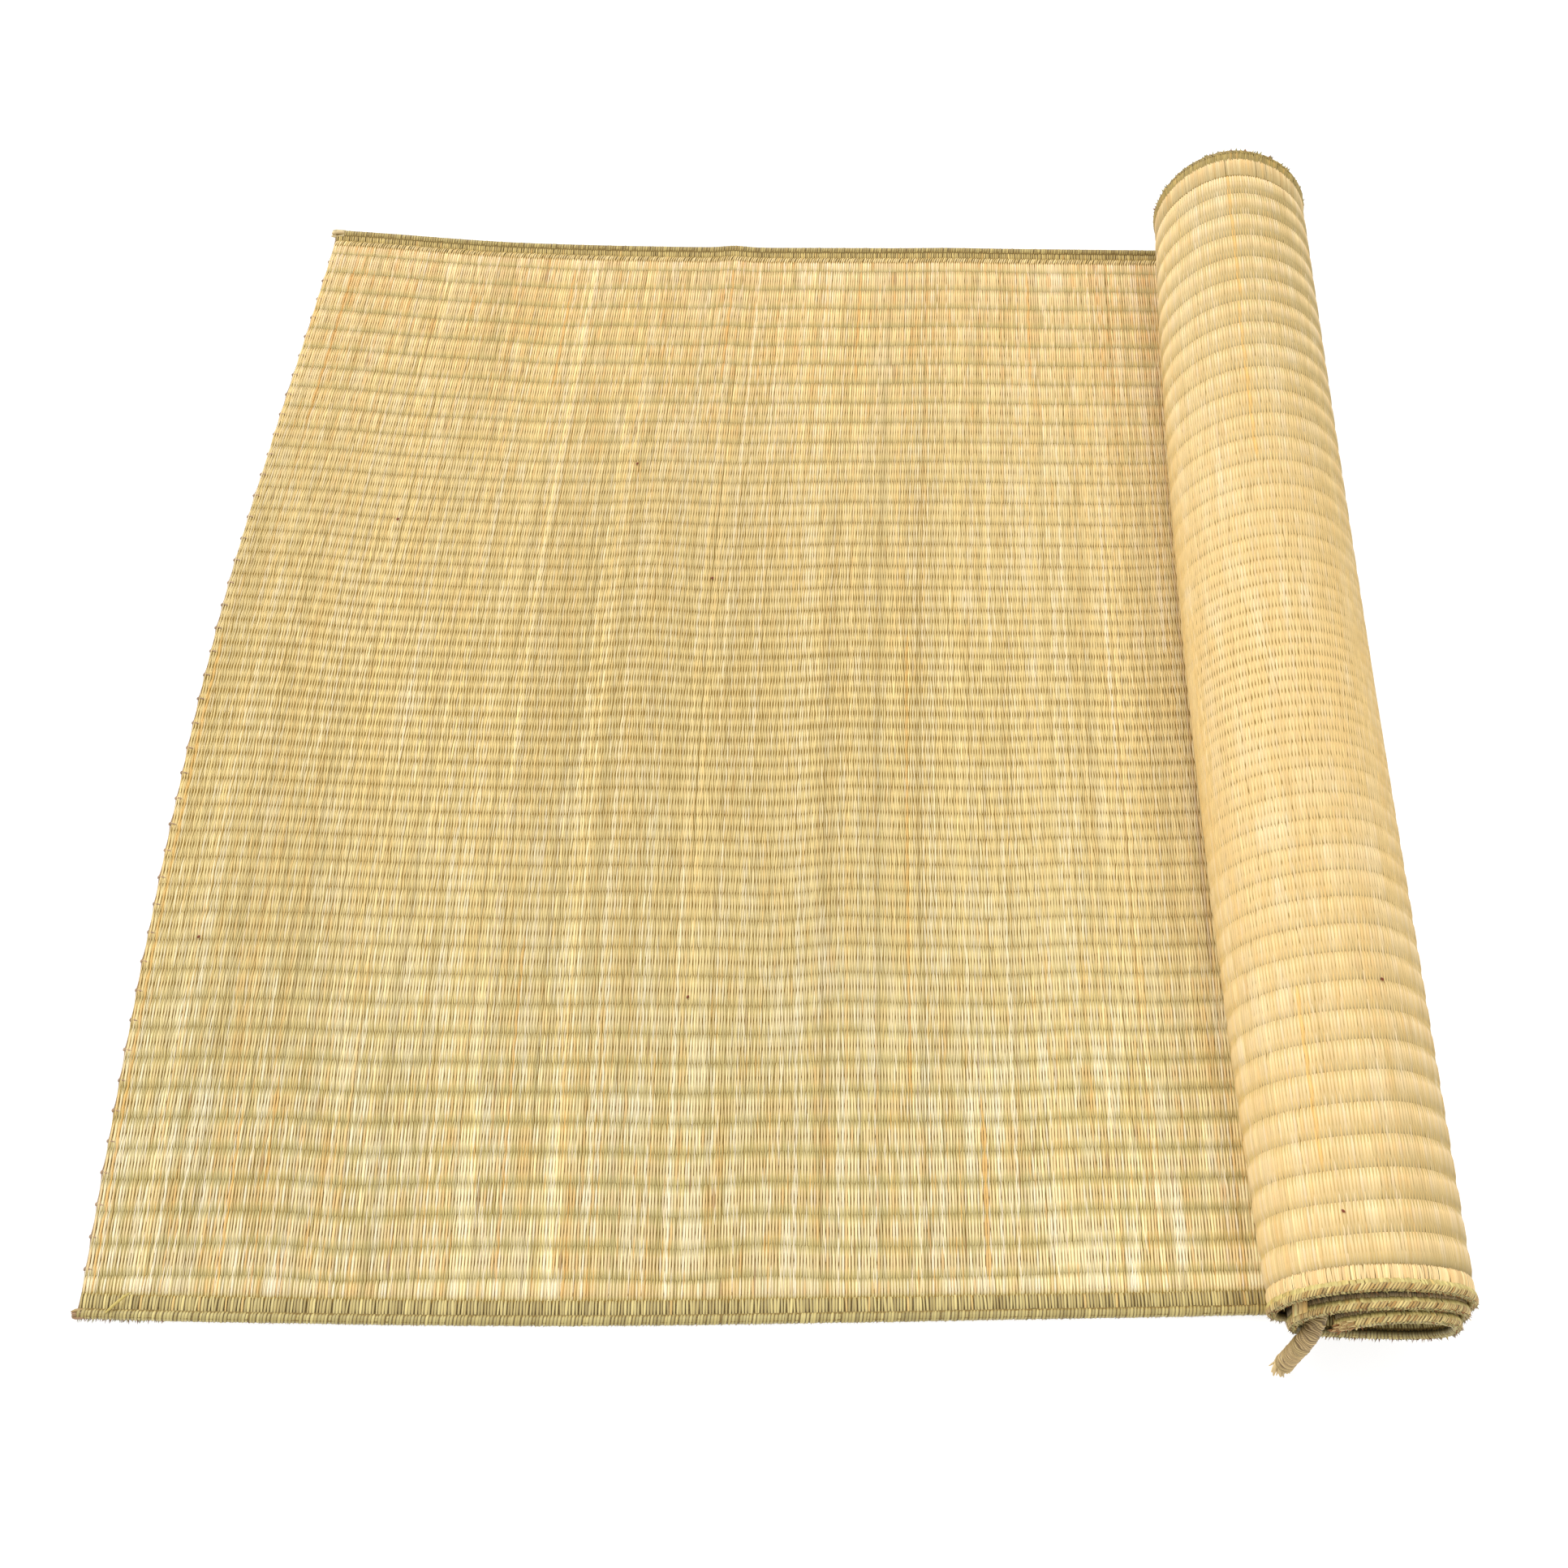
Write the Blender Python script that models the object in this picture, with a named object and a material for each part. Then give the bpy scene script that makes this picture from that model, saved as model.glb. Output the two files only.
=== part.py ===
"""Grass floor mat, laid flat over most of its length, with the rest rolled up at its right side.

The stems of the weave run along Y, between two hems. The thin strings that bind them run along X.
X, Y and Z are metres. The surface that the mat lies on is Z = 0.
"""

import math

import bmesh
import bpy
import numpy as np

# The middle of the mat's box, measured from its near left corner. The frame's origin lies under it.
MIDDLE_X = 0.4008
MIDDLE_Y = 0.4516

# Thickness of the woven sheet, and the relief of its ribs.
SHEET_HALF = 0.0016
RIB_RELIEF = 0.0008
STRING_SPACES = 85
EDGE_ROUNDING = 0.006
EDGE_THINNING = 0.6

# The hem is folded over a cord. Its seam lies this far from its outer edge.
HEM_DEPTH = 0.0152
HEM_CORD_HALF = 0.0031
HEM_SECTION = (
    # from_edge, half_thickness, lift of the middle where the mat lies flat
    (0.0000, 0.0000, 0.0015),
    (0.0009, 0.0022, 0.0015),
    (0.0031, 0.0031, 0.0015),
    (0.0053, 0.0023, 0.0015),
    (0.0070, 0.0014, -0.0002),
    (0.0110, 0.0019, 0.0003),
    (0.0152, 0.0014, -0.0002),
)
COARSE_HEM_ROWS = (0, 1, 2, 3, 4)
COARSE_SPACES = 8

# The hems where the mat lies flat: how far each stands along Y at a distance x from the left edge.
FLAT_HEMS = (
    # x, near, far
    (0.000, -0.0045, 0.9045),
    (0.150, -0.0030, 0.8985),
    (0.310, 0.0012, 0.9015),
    (0.480, 0.0090, 0.9090),
    (0.620, 0.0160, 0.9150),
    (0.760, 0.0225, 0.9195),
)
FLAT_NEAR = 1
FLAT_FAR = 2
FLAT_STEPS = (0.0, EDGE_ROUNDING, 0.12, 0.27, 0.42, 0.57, 0.67, 0.72, 0.76)

# The left edge is bowed: its x at a share of the mat's width, from the near hem to the far one.
LEFT_EDGE = (
    # share, x
    (0.000, 0.0019),
    (0.125, -0.0009),
    (0.250, -0.0028),
    (0.375, -0.0030),
    (0.500, -0.0013),
    (0.625, 0.0037),
    (0.750, 0.0128),
    (0.875, 0.0230),
    (1.000, 0.0318),
)

# The roll, a row for each quarter turn: bottom, right, top and left side in turn.
# x and z are the middle of the sheet. near and far are its two hems along Y.
# slack is how far the sheet bulges along X halfway between the hems.
ROLL = (
    # turn, x, z, near, far, slack
    (0.00, 0.7600, 0.0016, 0.0225, 0.9195, 0.0000),
    (0.25, 0.8055, 0.0560, 0.0080, 0.9100, -0.0022),
    (0.50, 0.7450, 0.1125, -0.0015, 0.9140, -0.0030),
    (0.75, 0.6922, 0.0600, 0.0020, 0.9040, -0.0115),
    (1.00, 0.7480, 0.0088, 0.0150, 0.9070, -0.0040),
    (1.25, 0.8001, 0.0560, 0.0015, 0.9020, -0.0030),
    (1.50, 0.7470, 0.1068, -0.0100, 0.9050, -0.0030),
    (1.75, 0.7040, 0.0575, -0.0045, 0.8950, -0.0110),
    (2.00, 0.7440, 0.0150, 0.0040, 0.8985, -0.0040),
    (2.25, 0.7945, 0.0560, -0.0060, 0.8940, -0.0035),
    (2.50, 0.7500, 0.1010, -0.0158, 0.8960, -0.0030),
    (2.75, 0.7140, 0.0600, -0.0150, 0.8870, -0.0090),
)
ROLL_NEAR = 3
ROLL_FAR = 4
ROLL_SLACK = 5
STEPS_IN_TURN = 20
LAST_TURN = 2.65
# The hem's middle comes level with the sheet's between these turns.
LEVEL_START = 0.06
LEVEL_END = 0.20
# The outside of the roll is ribbed where it is seen, as far as this turn.
SEEN_TO = 0.85
LAST_FLAT_SEEN = 0.72

# The cord inside a hem ends in a knob at the left edge.
KNOB_LENGTH = 0.0052
KNOB_GAP = 0.0006
KNOB_SECTIONS = (
    # along, radius
    (0.00, 0.90),
    (0.45, 1.00),
    (0.80, 0.80),
    (1.00, 0.42),
)
KNOB_SIDES = 8

# A string runs down the left edge, with a knot at every second string of the weave.
EDGE_STRING_AWAY = 0.0022
EDGE_STRING_HALF = 0.0006
EDGE_KNOT_HALF = 0.0014
EDGE_KNOT_SECTIONS = (
    # share of the way to the next knot, half thickness
    (0.16, EDGE_STRING_HALF),
    (0.40, EDGE_KNOT_HALF),
    (0.60, EDGE_KNOT_HALF),
    (0.84, EDGE_STRING_HALF),
)
EDGE_KNOTS = 42
EDGE_SIDES = 5

# The tie is a wrapped rope, sewn to the mat's inner end, that comes out of the roll onto the surface.
TIE_HALF = 0.0059
TIE_WRAP = 0.0005
TIE_PITCH = 0.0034
TIE_SIDES = 8
TIE_SAMPLES = 300
TIE_ROUTE = (
    # x, y, z
    (0.7190, 0.1000, 0.0770),
    (0.7195, 0.0880, 0.0748),
    (0.7205, 0.0730, 0.0695),
    (0.7216, 0.0560, 0.0632),
    (0.7220, 0.0380, 0.0577),
    (0.7215, 0.0220, 0.0542),
    (0.7200, 0.0090, 0.0520),
    (0.7178, 0.0007, 0.0495),
    (0.7153, -0.0044, 0.0458),
    (0.7130, -0.0072, 0.0408),
    (0.7112, -0.0087, 0.0350),
    (0.7100, -0.0096, 0.0290),
    (0.7090, -0.0103, 0.0228),
    (0.7081, -0.0110, 0.0165),
    (0.7072, -0.0117, 0.0101),
)
TIE_TIP_SECTIONS = (
    # along, radius
    (0.0000, 0.0054),
    (0.0025, 0.0060),
    (0.0060, 0.0052),
    (0.0090, 0.0028),
)
TIE_TIP_GAP = 0.0004

ALONG_X = np.array((1.0, 0.0, 0.0))
ALONG_Y = np.array((0.0, 1.0, 0.0))
UPWARD = np.array((0.0, 0.0, 1.0))

# Each material's colour and roughness.
STRAW = ((0.72, 0.58, 0.31, 1.0), 0.75)
OLIVE = ((0.55, 0.47, 0.22, 1.0), 0.80)
TWINE = ((0.50, 0.45, 0.33, 1.0), 0.85)
ROPE = ((0.62, 0.53, 0.36, 1.0), 0.85)

# Edges that turn more than this are drawn sharp: on the mat, and on the small round pieces.
SHEET_SHARP = math.radians(70)
ROUND_SHARP = math.radians(50)


def smooth(rows, column, place):
    """A smooth curve through one column of a table, read at a place in its first column."""
    keys = [row[0] for row in rows]
    values = [row[column] for row in rows]
    last = len(keys) - 1
    index = min(max(int(np.searchsorted(keys, place, "right")) - 1, 0), last - 1)
    share = (place - keys[index]) / (keys[index + 1] - keys[index])
    before = values[max(index - 1, 0)]
    start = values[index]
    end = values[index + 1]
    after = values[min(index + 2, last)]
    slope = (end - before) / 2
    end_slope = (after - start) / 2
    square = share * share
    cube = square * share
    return (
        start * (2 * cube - 3 * square + 1)
        + slope * (cube - 2 * square + share)
        + end * (3 * square - 2 * cube)
        + end_slope * (cube - square)
    )


def roll_place(turn):
    """The sheet's middle and its direction in the XZ plane. Each quarter turn is a quarter of an ellipse."""
    index = min(int(turn * 4), len(ROLL) - 2)
    angle = (turn * 4 - index) * math.pi / 2
    x_from, z_from = ROLL[index][1:3]
    x_to, z_to = ROLL[index + 1][1:3]
    sine = math.sin(angle)
    cosine = math.cos(angle)
    if index % 2 == 0:
        x = x_from + (x_to - x_from) * sine
        z = z_to + (z_from - z_to) * cosine
        along = ((x_to - x_from) * cosine, (z_to - z_from) * sine)
    else:
        x = x_to + (x_from - x_to) * cosine
        z = z_from + (z_to - z_from) * sine
        along = ((x_to - x_from) * sine, (z_to - z_from) * cosine)
    length = math.hypot(*along)
    return x, z, along[0] / length, along[1] / length


def cross_rows():
    """The mat's rows from its left edge to its inner end, each with its place, hems and thickness."""
    rows = []
    for x in FLAT_STEPS:
        rows.append(
            {
                "x": x,
                "z": SHEET_HALF,
                "up": (0.0, 1.0),
                "near": smooth(FLAT_HEMS, FLAT_NEAR, x),
                "far": smooth(FLAT_HEMS, FLAT_FAR, x),
                "slack": 0.0,
                "bow": 1.0 - x / FLAT_STEPS[-1],
                "lift": 1.0,
                "ribs": 1 if EDGE_ROUNDING <= x <= LAST_FLAT_SEEN else 0,
                "fine_top": x <= LAST_FLAT_SEEN,
                "fine_under": x == 0,
                "thin": EDGE_THINNING if x == 0 else 1.0,
            }
        )
    count = round(LAST_TURN * STEPS_IN_TURN)
    for step in range(1, count + 1):
        turn = LAST_TURN * step / count
        x, z, along_x, along_z = roll_place(turn)
        level = min(max((turn - LEVEL_START) / (LEVEL_END - LEVEL_START), 0.0), 1.0)
        rows.append(
            {
                "x": x,
                "z": z,
                "up": (-along_z, along_x),
                "near": smooth(ROLL, ROLL_NEAR, turn),
                "far": smooth(ROLL, ROLL_FAR, turn),
                "slack": smooth(ROLL, ROLL_SLACK, turn),
                "bow": 0.0,
                "lift": 1.0 - level,
                "ribs": -1 if turn <= SEEN_TO else 0,
                "fine_top": False,
                "fine_under": turn <= SEEN_TO,
                "thin": EDGE_THINNING if step == count else 1.0,
            }
        )
    return rows


def stations(fine):
    """Places across the mat: what each is measured from, how far, its half thickness, lift and rib."""
    hem_rows = HEM_SECTION if fine else [HEM_SECTION[index] for index in COARSE_HEM_ROWS]
    spaces = STRING_SPACES if fine else COARSE_SPACES
    near = [("near", distance, half, lift, 0.0) for distance, half, lift in hem_rows]
    far = [("far", distance, half, lift, 0.0) for distance, half, lift in reversed(hem_rows)]
    middle = []
    for space in range(1, spaces):
        share = space / spaces
        # Near each hem the first rib is one space wide and the others two, and they fade towards the middle.
        rib = math.cos(math.pi * space) * (1 - 2 * share) if fine else 0.0
        middle.append(("between", share, SHEET_HALF, 0.0, rib))
    return near + middle + far


def station_point(row, station, side):
    """A point of the mat's upper face (side 1) or lower face (side -1)."""
    measured, distance, half, lift, rib = station
    if measured == "near":
        y = row["near"] + distance
    elif measured == "far":
        y = row["far"] - distance
    else:
        start = row["near"] + HEM_DEPTH
        y = start + (row["far"] - HEM_DEPTH - start) * distance
    share = (y - row["near"]) / (row["far"] - row["near"])
    height = half * row["thin"] + RIB_RELIEF * rib * (row["ribs"] == side)
    off = side * height + lift * row["lift"]
    x = row["x"] + row["slack"] * 4 * share * (1 - share) + row["bow"] * smooth(LEFT_EDGE, 1, share)
    return (
        x + row["up"][0] * off - MIDDLE_X,
        y - MIDDLE_Y,
        max(row["z"] + row["up"][1] * off, 0.0),
    )


def stitch(mesh, first, second):
    """Faces between two lines of vertices that may differ in number, in step along Y."""
    i = 0
    j = 0
    while i < len(first) - 1 or j < len(second) - 1:
        ahead_first = first[min(i + 1, len(first) - 1)].co.y
        ahead_second = second[min(j + 1, len(second) - 1)].co.y
        take_first = j == len(second) - 1 or (i < len(first) - 1 and ahead_first <= ahead_second)
        corners = [first[i], second[j], first[i + 1] if take_first else second[j + 1]]
        if len(set(corners)) == 3:
            mesh.faces.new(corners)
        if take_first:
            i += 1
        else:
            j += 1


def join_lines(mesh, first, second):
    """Four-sided faces between lines of equal number, or stitched triangles."""
    if len(first) != len(second):
        stitch(mesh, first, second)
        return
    for index in range(len(first) - 1):
        mesh.faces.new([first[index], first[index + 1], second[index + 1], second[index]])


def material(name, look):
    made = bpy.data.materials.new(name)
    made.use_nodes = True
    shader = made.node_tree.nodes["Principled BSDF"]
    shader.inputs["Base Color"].default_value = look[0]
    shader.inputs["Roughness"].default_value = look[1]
    shader.inputs["Metallic"].default_value = 0.0
    return made


def finish(name, mesh, look, sharp_from=ROUND_SHARP):
    """Turns a bmesh into a named object with its faces pointing out."""
    bmesh.ops.recalc_face_normals(mesh, faces=mesh.faces)
    data = bpy.data.meshes.new(name)
    mesh.to_mesh(data)
    mesh.free()
    data.shade_smooth()
    data.set_sharp_from_angle(angle=sharp_from)
    data.materials.append(material(name, look))
    made = bpy.data.objects.new(name, data)
    bpy.context.scene.collection.objects.link(made)
    return made


def build_mat():
    """One woven sheet with its two hems, flat at first and then wound up."""
    mesh = bmesh.new()
    fine = stations(True)
    coarse = stations(False)
    uppers = []
    lowers = []
    for row in cross_rows():
        tips = [mesh.verts.new(station_point(row, end, 1)) for end in (fine[0], fine[-1])]
        for lines, side, seen in ((uppers, 1, row["fine_top"]), (lowers, -1, row["fine_under"])):
            inner = (fine if seen else coarse)[1:-1]
            points = [mesh.verts.new(station_point(row, station, side)) for station in inner]
            lines.append([tips[0], *points, tips[1]])
    for lines in (uppers, lowers):
        for first, second in zip(lines, lines[1:]):
            join_lines(mesh, first, second)
    for upper, lower in ((uppers[0], lowers[0]), (uppers[-1], lowers[-1])):
        stitch(mesh, upper, lower)
    return finish("mat", mesh, STRAW, SHEET_SHARP)


def ring(mesh, centre, across, up, radius, sides):
    """Vertices round a centre. The first edge is level, so that a round piece has a flat to rest on."""
    verts = []
    for side in range(sides):
        angle = 2 * math.pi * (side + 0.5) / sides
        place = centre + across * (radius * math.sin(angle)) - up * (radius * math.cos(angle))
        verts.append(mesh.verts.new(place))
    return verts


def loft(mesh, rings):
    """Skins a run of rings and closes its two ends."""
    for first, second in zip(rings, rings[1:]):
        for index, vert in enumerate(first):
            after = (index + 1) % len(first)
            mesh.faces.new([vert, first[after], second[after], second[index]])
    mesh.faces.new(rings[0])
    mesh.faces.new(rings[-1])


def build_knob(name, share, y):
    """The end of a hem's cord, lying on the surface just off the mat's left edge."""
    mesh = bmesh.new()
    start = smooth(LEFT_EDGE, 1, share) - KNOB_GAP
    flat = math.cos(math.pi / KNOB_SIDES)
    rings = []
    for along, radius in KNOB_SECTIONS:
        size = HEM_CORD_HALF * radius / flat
        centre = np.array((start - along * KNOB_LENGTH - MIDDLE_X, y - MIDDLE_Y, HEM_CORD_HALF))
        rings.append(ring(mesh, centre, ALONG_Y, UPWARD, size, KNOB_SIDES))
    loft(mesh, rings)
    return finish(name, mesh, OLIVE)


def build_edge_string():
    """The knotted string along the left edge, with a thicker lump at each knot."""
    mesh = bmesh.new()
    start = FLAT_HEMS[0][FLAT_NEAR] + HEM_DEPTH
    length = FLAT_HEMS[0][FLAT_FAR] - HEM_DEPTH - start
    width = FLAT_HEMS[0][FLAT_FAR] - FLAT_HEMS[0][FLAT_NEAR]
    flat = math.cos(math.pi / EDGE_SIDES)
    rings = []
    for knot in range(EDGE_KNOTS):
        for offset, half in EDGE_KNOT_SECTIONS:
            y = start + length * (knot + offset) / EDGE_KNOTS
            share = (y - FLAT_HEMS[0][FLAT_NEAR]) / width
            x = smooth(LEFT_EDGE, 1, share) - EDGE_STRING_AWAY
            centre = np.array((x - MIDDLE_X, y - MIDDLE_Y, EDGE_KNOT_HALF))
            rings.append(ring(mesh, centre, ALONG_X, UPWARD, half / flat, EDGE_SIDES))
    loft(mesh, rings)
    return finish("edge_string", mesh, TWINE)


def tie_curve(steps):
    """Points, spaced evenly, on a smooth curve through the tie's route."""
    route = [(index, *point) for index, point in enumerate(TIE_ROUTE)]
    fine = np.linspace(0, len(route) - 1, TIE_SAMPLES)
    points = np.array([[smooth(route, axis, place) for axis in (1, 2, 3)] for place in fine])
    points -= (MIDDLE_X, MIDDLE_Y, 0.0)
    travelled = np.concatenate([[0.0], np.cumsum(np.linalg.norm(np.diff(points, axis=0), axis=1))])
    places = np.linspace(0, travelled[-1], steps)
    even = [np.interp(places, travelled, points[:, axis]) for axis in range(3)]
    return np.stack(even, axis=1), travelled[-1]


def build_tie():
    """The tie's wrapped rope, with a ridge for each turn of its wrapping."""
    length = tie_curve(2)[1]
    steps = 2 * round(length / TIE_PITCH)
    points = tie_curve(steps + 1)[0]
    mesh = bmesh.new()
    rings = []
    for index, point in enumerate(points):
        ahead = points[min(index + 1, steps)] - points[max(index - 1, 0)]
        ahead /= np.linalg.norm(ahead)
        across = np.cross(ahead, UPWARD)
        across /= np.linalg.norm(across)
        radius = TIE_HALF - (TIE_WRAP if index % 2 else 0.0)
        rings.append(ring(mesh, point, across, np.cross(across, ahead), radius, TIE_SIDES))
    loft(mesh, rings)
    return finish("tie_rope", mesh, ROPE)


def build_tie_tip():
    """The frayed end of the tie, a tapering tuft in line with the rope."""
    points = tie_curve(TIE_SAMPLES)[0]
    ahead = points[-1] - points[-2]
    ahead /= np.linalg.norm(ahead)
    across = np.cross(ahead, UPWARD)
    across /= np.linalg.norm(across)
    up = np.cross(across, ahead)
    mesh = bmesh.new()
    rings = []
    for along, radius in TIE_TIP_SECTIONS:
        centre = points[-1] + ahead * (TIE_TIP_GAP + along)
        rings.append(ring(mesh, centre, across, up, radius, TIE_SIDES))
    loft(mesh, rings)
    return finish("tie_rope_tip", mesh, ROPE)


def main():
    for existing in list(bpy.data.objects):
        bpy.data.objects.remove(existing, do_unlink=True)
    build_mat()
    build_knob("hem_cord_near", 0.0, FLAT_HEMS[0][FLAT_NEAR] + HEM_CORD_HALF)
    build_knob("hem_cord_far", 1.0, FLAT_HEMS[0][FLAT_FAR] - HEM_CORD_HALF)
    build_edge_string()
    build_tie()
    build_tie_tip()


main()
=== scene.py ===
"""Looks of the grass floor mat: its woven stems, hems, fringe, knotted edge string and wrapped tie.

Sizes are in metres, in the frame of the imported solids. The mat is described along its own length:
a place s runs from the left edge over the flat stretch and on round the roll, a string number runs
from the near hem's seam to the far one, and a height stands off the middle of the sheet, upwards on
the flat stretch and inwards in the roll.
"""

import math

import bpy
import numpy as np
from mathutils import Matrix, Vector
from numpy.random import default_rng


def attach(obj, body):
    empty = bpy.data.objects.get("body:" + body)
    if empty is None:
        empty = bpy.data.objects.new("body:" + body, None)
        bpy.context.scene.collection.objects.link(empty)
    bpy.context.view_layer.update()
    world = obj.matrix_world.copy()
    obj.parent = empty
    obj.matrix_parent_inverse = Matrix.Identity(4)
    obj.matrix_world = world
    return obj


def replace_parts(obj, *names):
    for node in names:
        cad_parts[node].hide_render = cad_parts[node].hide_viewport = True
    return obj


# The shape of the solids, repeated from their source.
MIDDLE = np.array((0.4008, 0.4516, 0.0))
SHEET_HALF = 0.0016
HEM_DEPTH = 0.0152
HEM_CORD_HALF = 0.0031
HEM_LIFT = 0.0015
STRING_SPACES = 85
FLAT_LENGTH = 0.76
FLAT_HEMS = (
    # x, near, far
    (0.000, -0.0045, 0.9045),
    (0.150, -0.0030, 0.8985),
    (0.310, 0.0012, 0.9015),
    (0.480, 0.0090, 0.9090),
    (0.620, 0.0160, 0.9150),
    (0.760, 0.0225, 0.9195),
)
LEFT_EDGE = (
    # share, x
    (0.000, 0.0019), (0.125, -0.0009), (0.250, -0.0028), (0.375, -0.0030), (0.500, -0.0013),
    (0.625, 0.0037), (0.750, 0.0128), (0.875, 0.0230), (1.000, 0.0318),
)
ROLL = (
    # turn, x, z, near, far, slack
    (0.00, 0.7600, 0.0016, 0.0225, 0.9195, 0.0000),
    (0.25, 0.8055, 0.0560, 0.0080, 0.9100, -0.0022),
    (0.50, 0.7450, 0.1125, -0.0015, 0.9140, -0.0030),
    (0.75, 0.6922, 0.0600, 0.0020, 0.9040, -0.0115),
    (1.00, 0.7480, 0.0088, 0.0150, 0.9070, -0.0040),
    (1.25, 0.8001, 0.0560, 0.0015, 0.9020, -0.0030),
    (1.50, 0.7470, 0.1068, -0.0100, 0.9050, -0.0030),
    (1.75, 0.7040, 0.0575, -0.0045, 0.8950, -0.0110),
    (2.00, 0.7440, 0.0150, 0.0040, 0.8985, -0.0040),
    (2.25, 0.7945, 0.0560, -0.0060, 0.8940, -0.0035),
    (2.50, 0.7500, 0.1010, -0.0158, 0.8960, -0.0030),
    (2.75, 0.7140, 0.0600, -0.0150, 0.8870, -0.0090),
)
LAST_TURN = 2.65
# The hems' lift off the sheet's middle fades over these turns.
LEVEL_TURNS = (0.06, 0.20)
TIE_HALF = 0.0059
TIE_PITCH = 0.0034
TIE_ROUTE = (
    # x, y, z
    (0.7190, 0.1000, 0.0770), (0.7195, 0.0880, 0.0748), (0.7205, 0.0730, 0.0695), (0.7216, 0.0560, 0.0632),
    (0.7220, 0.0380, 0.0577), (0.7215, 0.0220, 0.0542), (0.7200, 0.0090, 0.0520), (0.7178, 0.0007, 0.0495),
    (0.7153, -0.0044, 0.0458), (0.7130, -0.0072, 0.0408), (0.7112, -0.0087, 0.0350),
    (0.7100, -0.0096, 0.0290), (0.7090, -0.0103, 0.0228), (0.7081, -0.0110, 0.0165),
    (0.7072, -0.0117, 0.0101),
)

# How many places the sheet's section is worked out at.
FLAT_ROWS = 400
ROLL_ROWS = 1600

# Soft waves of the flat stretch.
RIPPLES = (
    # place s, half width, height, share of the width, reach as a share
    (0.337, 0.013, 0.0022, 0.93, 0.20),
    (0.520, 0.035, 0.0010, 0.85, 0.25),
    (0.120, 0.040, 0.0010, 0.20, 0.25),
)

# The camera that fits the photograph's outline of the mat.
FOCAL_PIXELS = 2600
IMAGE_PIXELS = 1932
SENSOR_MM = 36
CAMERA_PLACE = np.array((0.385, -0.396, 1.226))
CAMERA_PITCH = math.radians(57.46)
CAMERA_YAW = math.radians(1.55)
CAMERA_ROLL = math.radians(3.31)

# The first stems and both hems reach a little past the solid's left edge, as far as its string.
LEFT_START = -0.0021

# All chance draws start from this.
SEED = 17

# The weave: stems lie in pairs, and a pair's two stems taper towards opposite hems.
PAIR_PITCH = 0.00193
STRING_STEP = 0.0102
STRING_DRIFT = (
    # string, how far from its even place, in string spaces
    (0, 0.00), (1, 0.24), (3, 0.14), (7, 0.10), (13, 0.02), (19, 0.06), (25, 0.20),
    (42, 0.10), (62, 0.00), (66, -0.12), (80, -0.18), (84, -0.10), (85, 0.00),
)
ROLL_DRIFT = (
    # the same round the roll
    (0, 0.0), (2, -0.2), (6, -0.5), (12, -0.7), (18, -1.1), (24, -1.6), (30, -2.2), (36, -2.6), (42, -2.9),
    (48, -3.2), (53, -3.3), (57, -3.0), (63, -2.7), (69, -2.3), (75, -1.9), (79, -1.5), (83, -1.15),
    (85, -1.2),
)
# Strings and hem rows pass to their places round the roll over these turns.
ROLL_BLEND = (0.0, 0.12)
# Stations along a float, from its one end to the other.
STEM_STATIONS = np.array((-1.0, -0.45, 0.45, 1.0))
THICKNESS = np.array(
    (
        # a stem's thickness there, half width at a float's middle and at its ends as shares of the pitch,
        # height of the ridge at its middle and ends, and how far the edges lie below the ridge
        (0.00, 0.27, 0.13, 0.0018, 0.0009, 0.0005),
        (0.30, 0.28, 0.19, 0.0018, 0.0008, 0.0006),
        (0.50, 0.37, 0.24, 0.0020, 0.0007, 0.0008),
        (0.70, 0.42, 0.32, 0.0023, 0.0010, 0.0011),
        (1.00, 0.49, 0.41, 0.0025, 0.0014, 0.0012),
    )
)

# Raised stems lie on the flat stretch up to this place s, round the roll between these turns, and inside
# it on these strings.
FLAT_WEAVE_END = 0.735
OUTER_TURNS = (0.03, 0.96)
INSIDE_STRINGS = (("near", range(0, 5)), ("far", range(81, 86)))

# The ground sheet below the stems, and its points along the flat stretch, round the roll and across.
SHEET_HEM = (
    # distance from the hem's edge, share of the hem's lift, half thickness
    (0.0009, 1.0, 0.0018),
    (0.0031, 1.0, 0.0026),
    (0.0053, 1.0, 0.0018),
    (0.0070, 0.0, 0.0009),
    (0.0110, 0.0, 0.0009),
)
THIN_HALF = 0.0009
SHEET_POINTS = (96, 170, 52)
# Its own weave shows on the upper face from this turn on, and on the lower face outside these.
BARE_UPPER_FROM = 0.3
BARE_LOWER_OUTSIDE = (0.03, 0.97)

# No point of the mat lies lower than this.
LOWEST = 0.0002

# How the upper face's colours and floats change over the width, at shares of it from the near hem.
ZONE_TINTS = (
    # share of the width, red, green, blue
    (0.00, 0.90, 0.86, 0.82),
    (0.15, 0.88, 0.86, 0.80),
    (0.50, 0.93, 0.90, 0.88),
    (0.75, 0.89, 0.81, 0.73),
    (0.92, 0.87, 0.74, 0.60),
    (1.00, 0.90, 0.78, 0.71),
)
# Shares of the width, then values there: how much paler and fuller floats are beside the roll, and the
# depth of the painted shade in the gaps on the whole upper face.
ROLL_SIDE_GAIN = ((0.0, 0.3, 0.6, 1.0), (0.20, 0.12, 0.03, 0.01))
ROLL_SIDE_FILL = ((0.0, 0.3, 0.6, 1.0), (0.04, 0.15, 0.22, 0.04))
GAP_DEPTH = ((0.0, 0.2, 0.5, 1.0), (1.00, 0.95, 0.82, 0.81))

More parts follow.
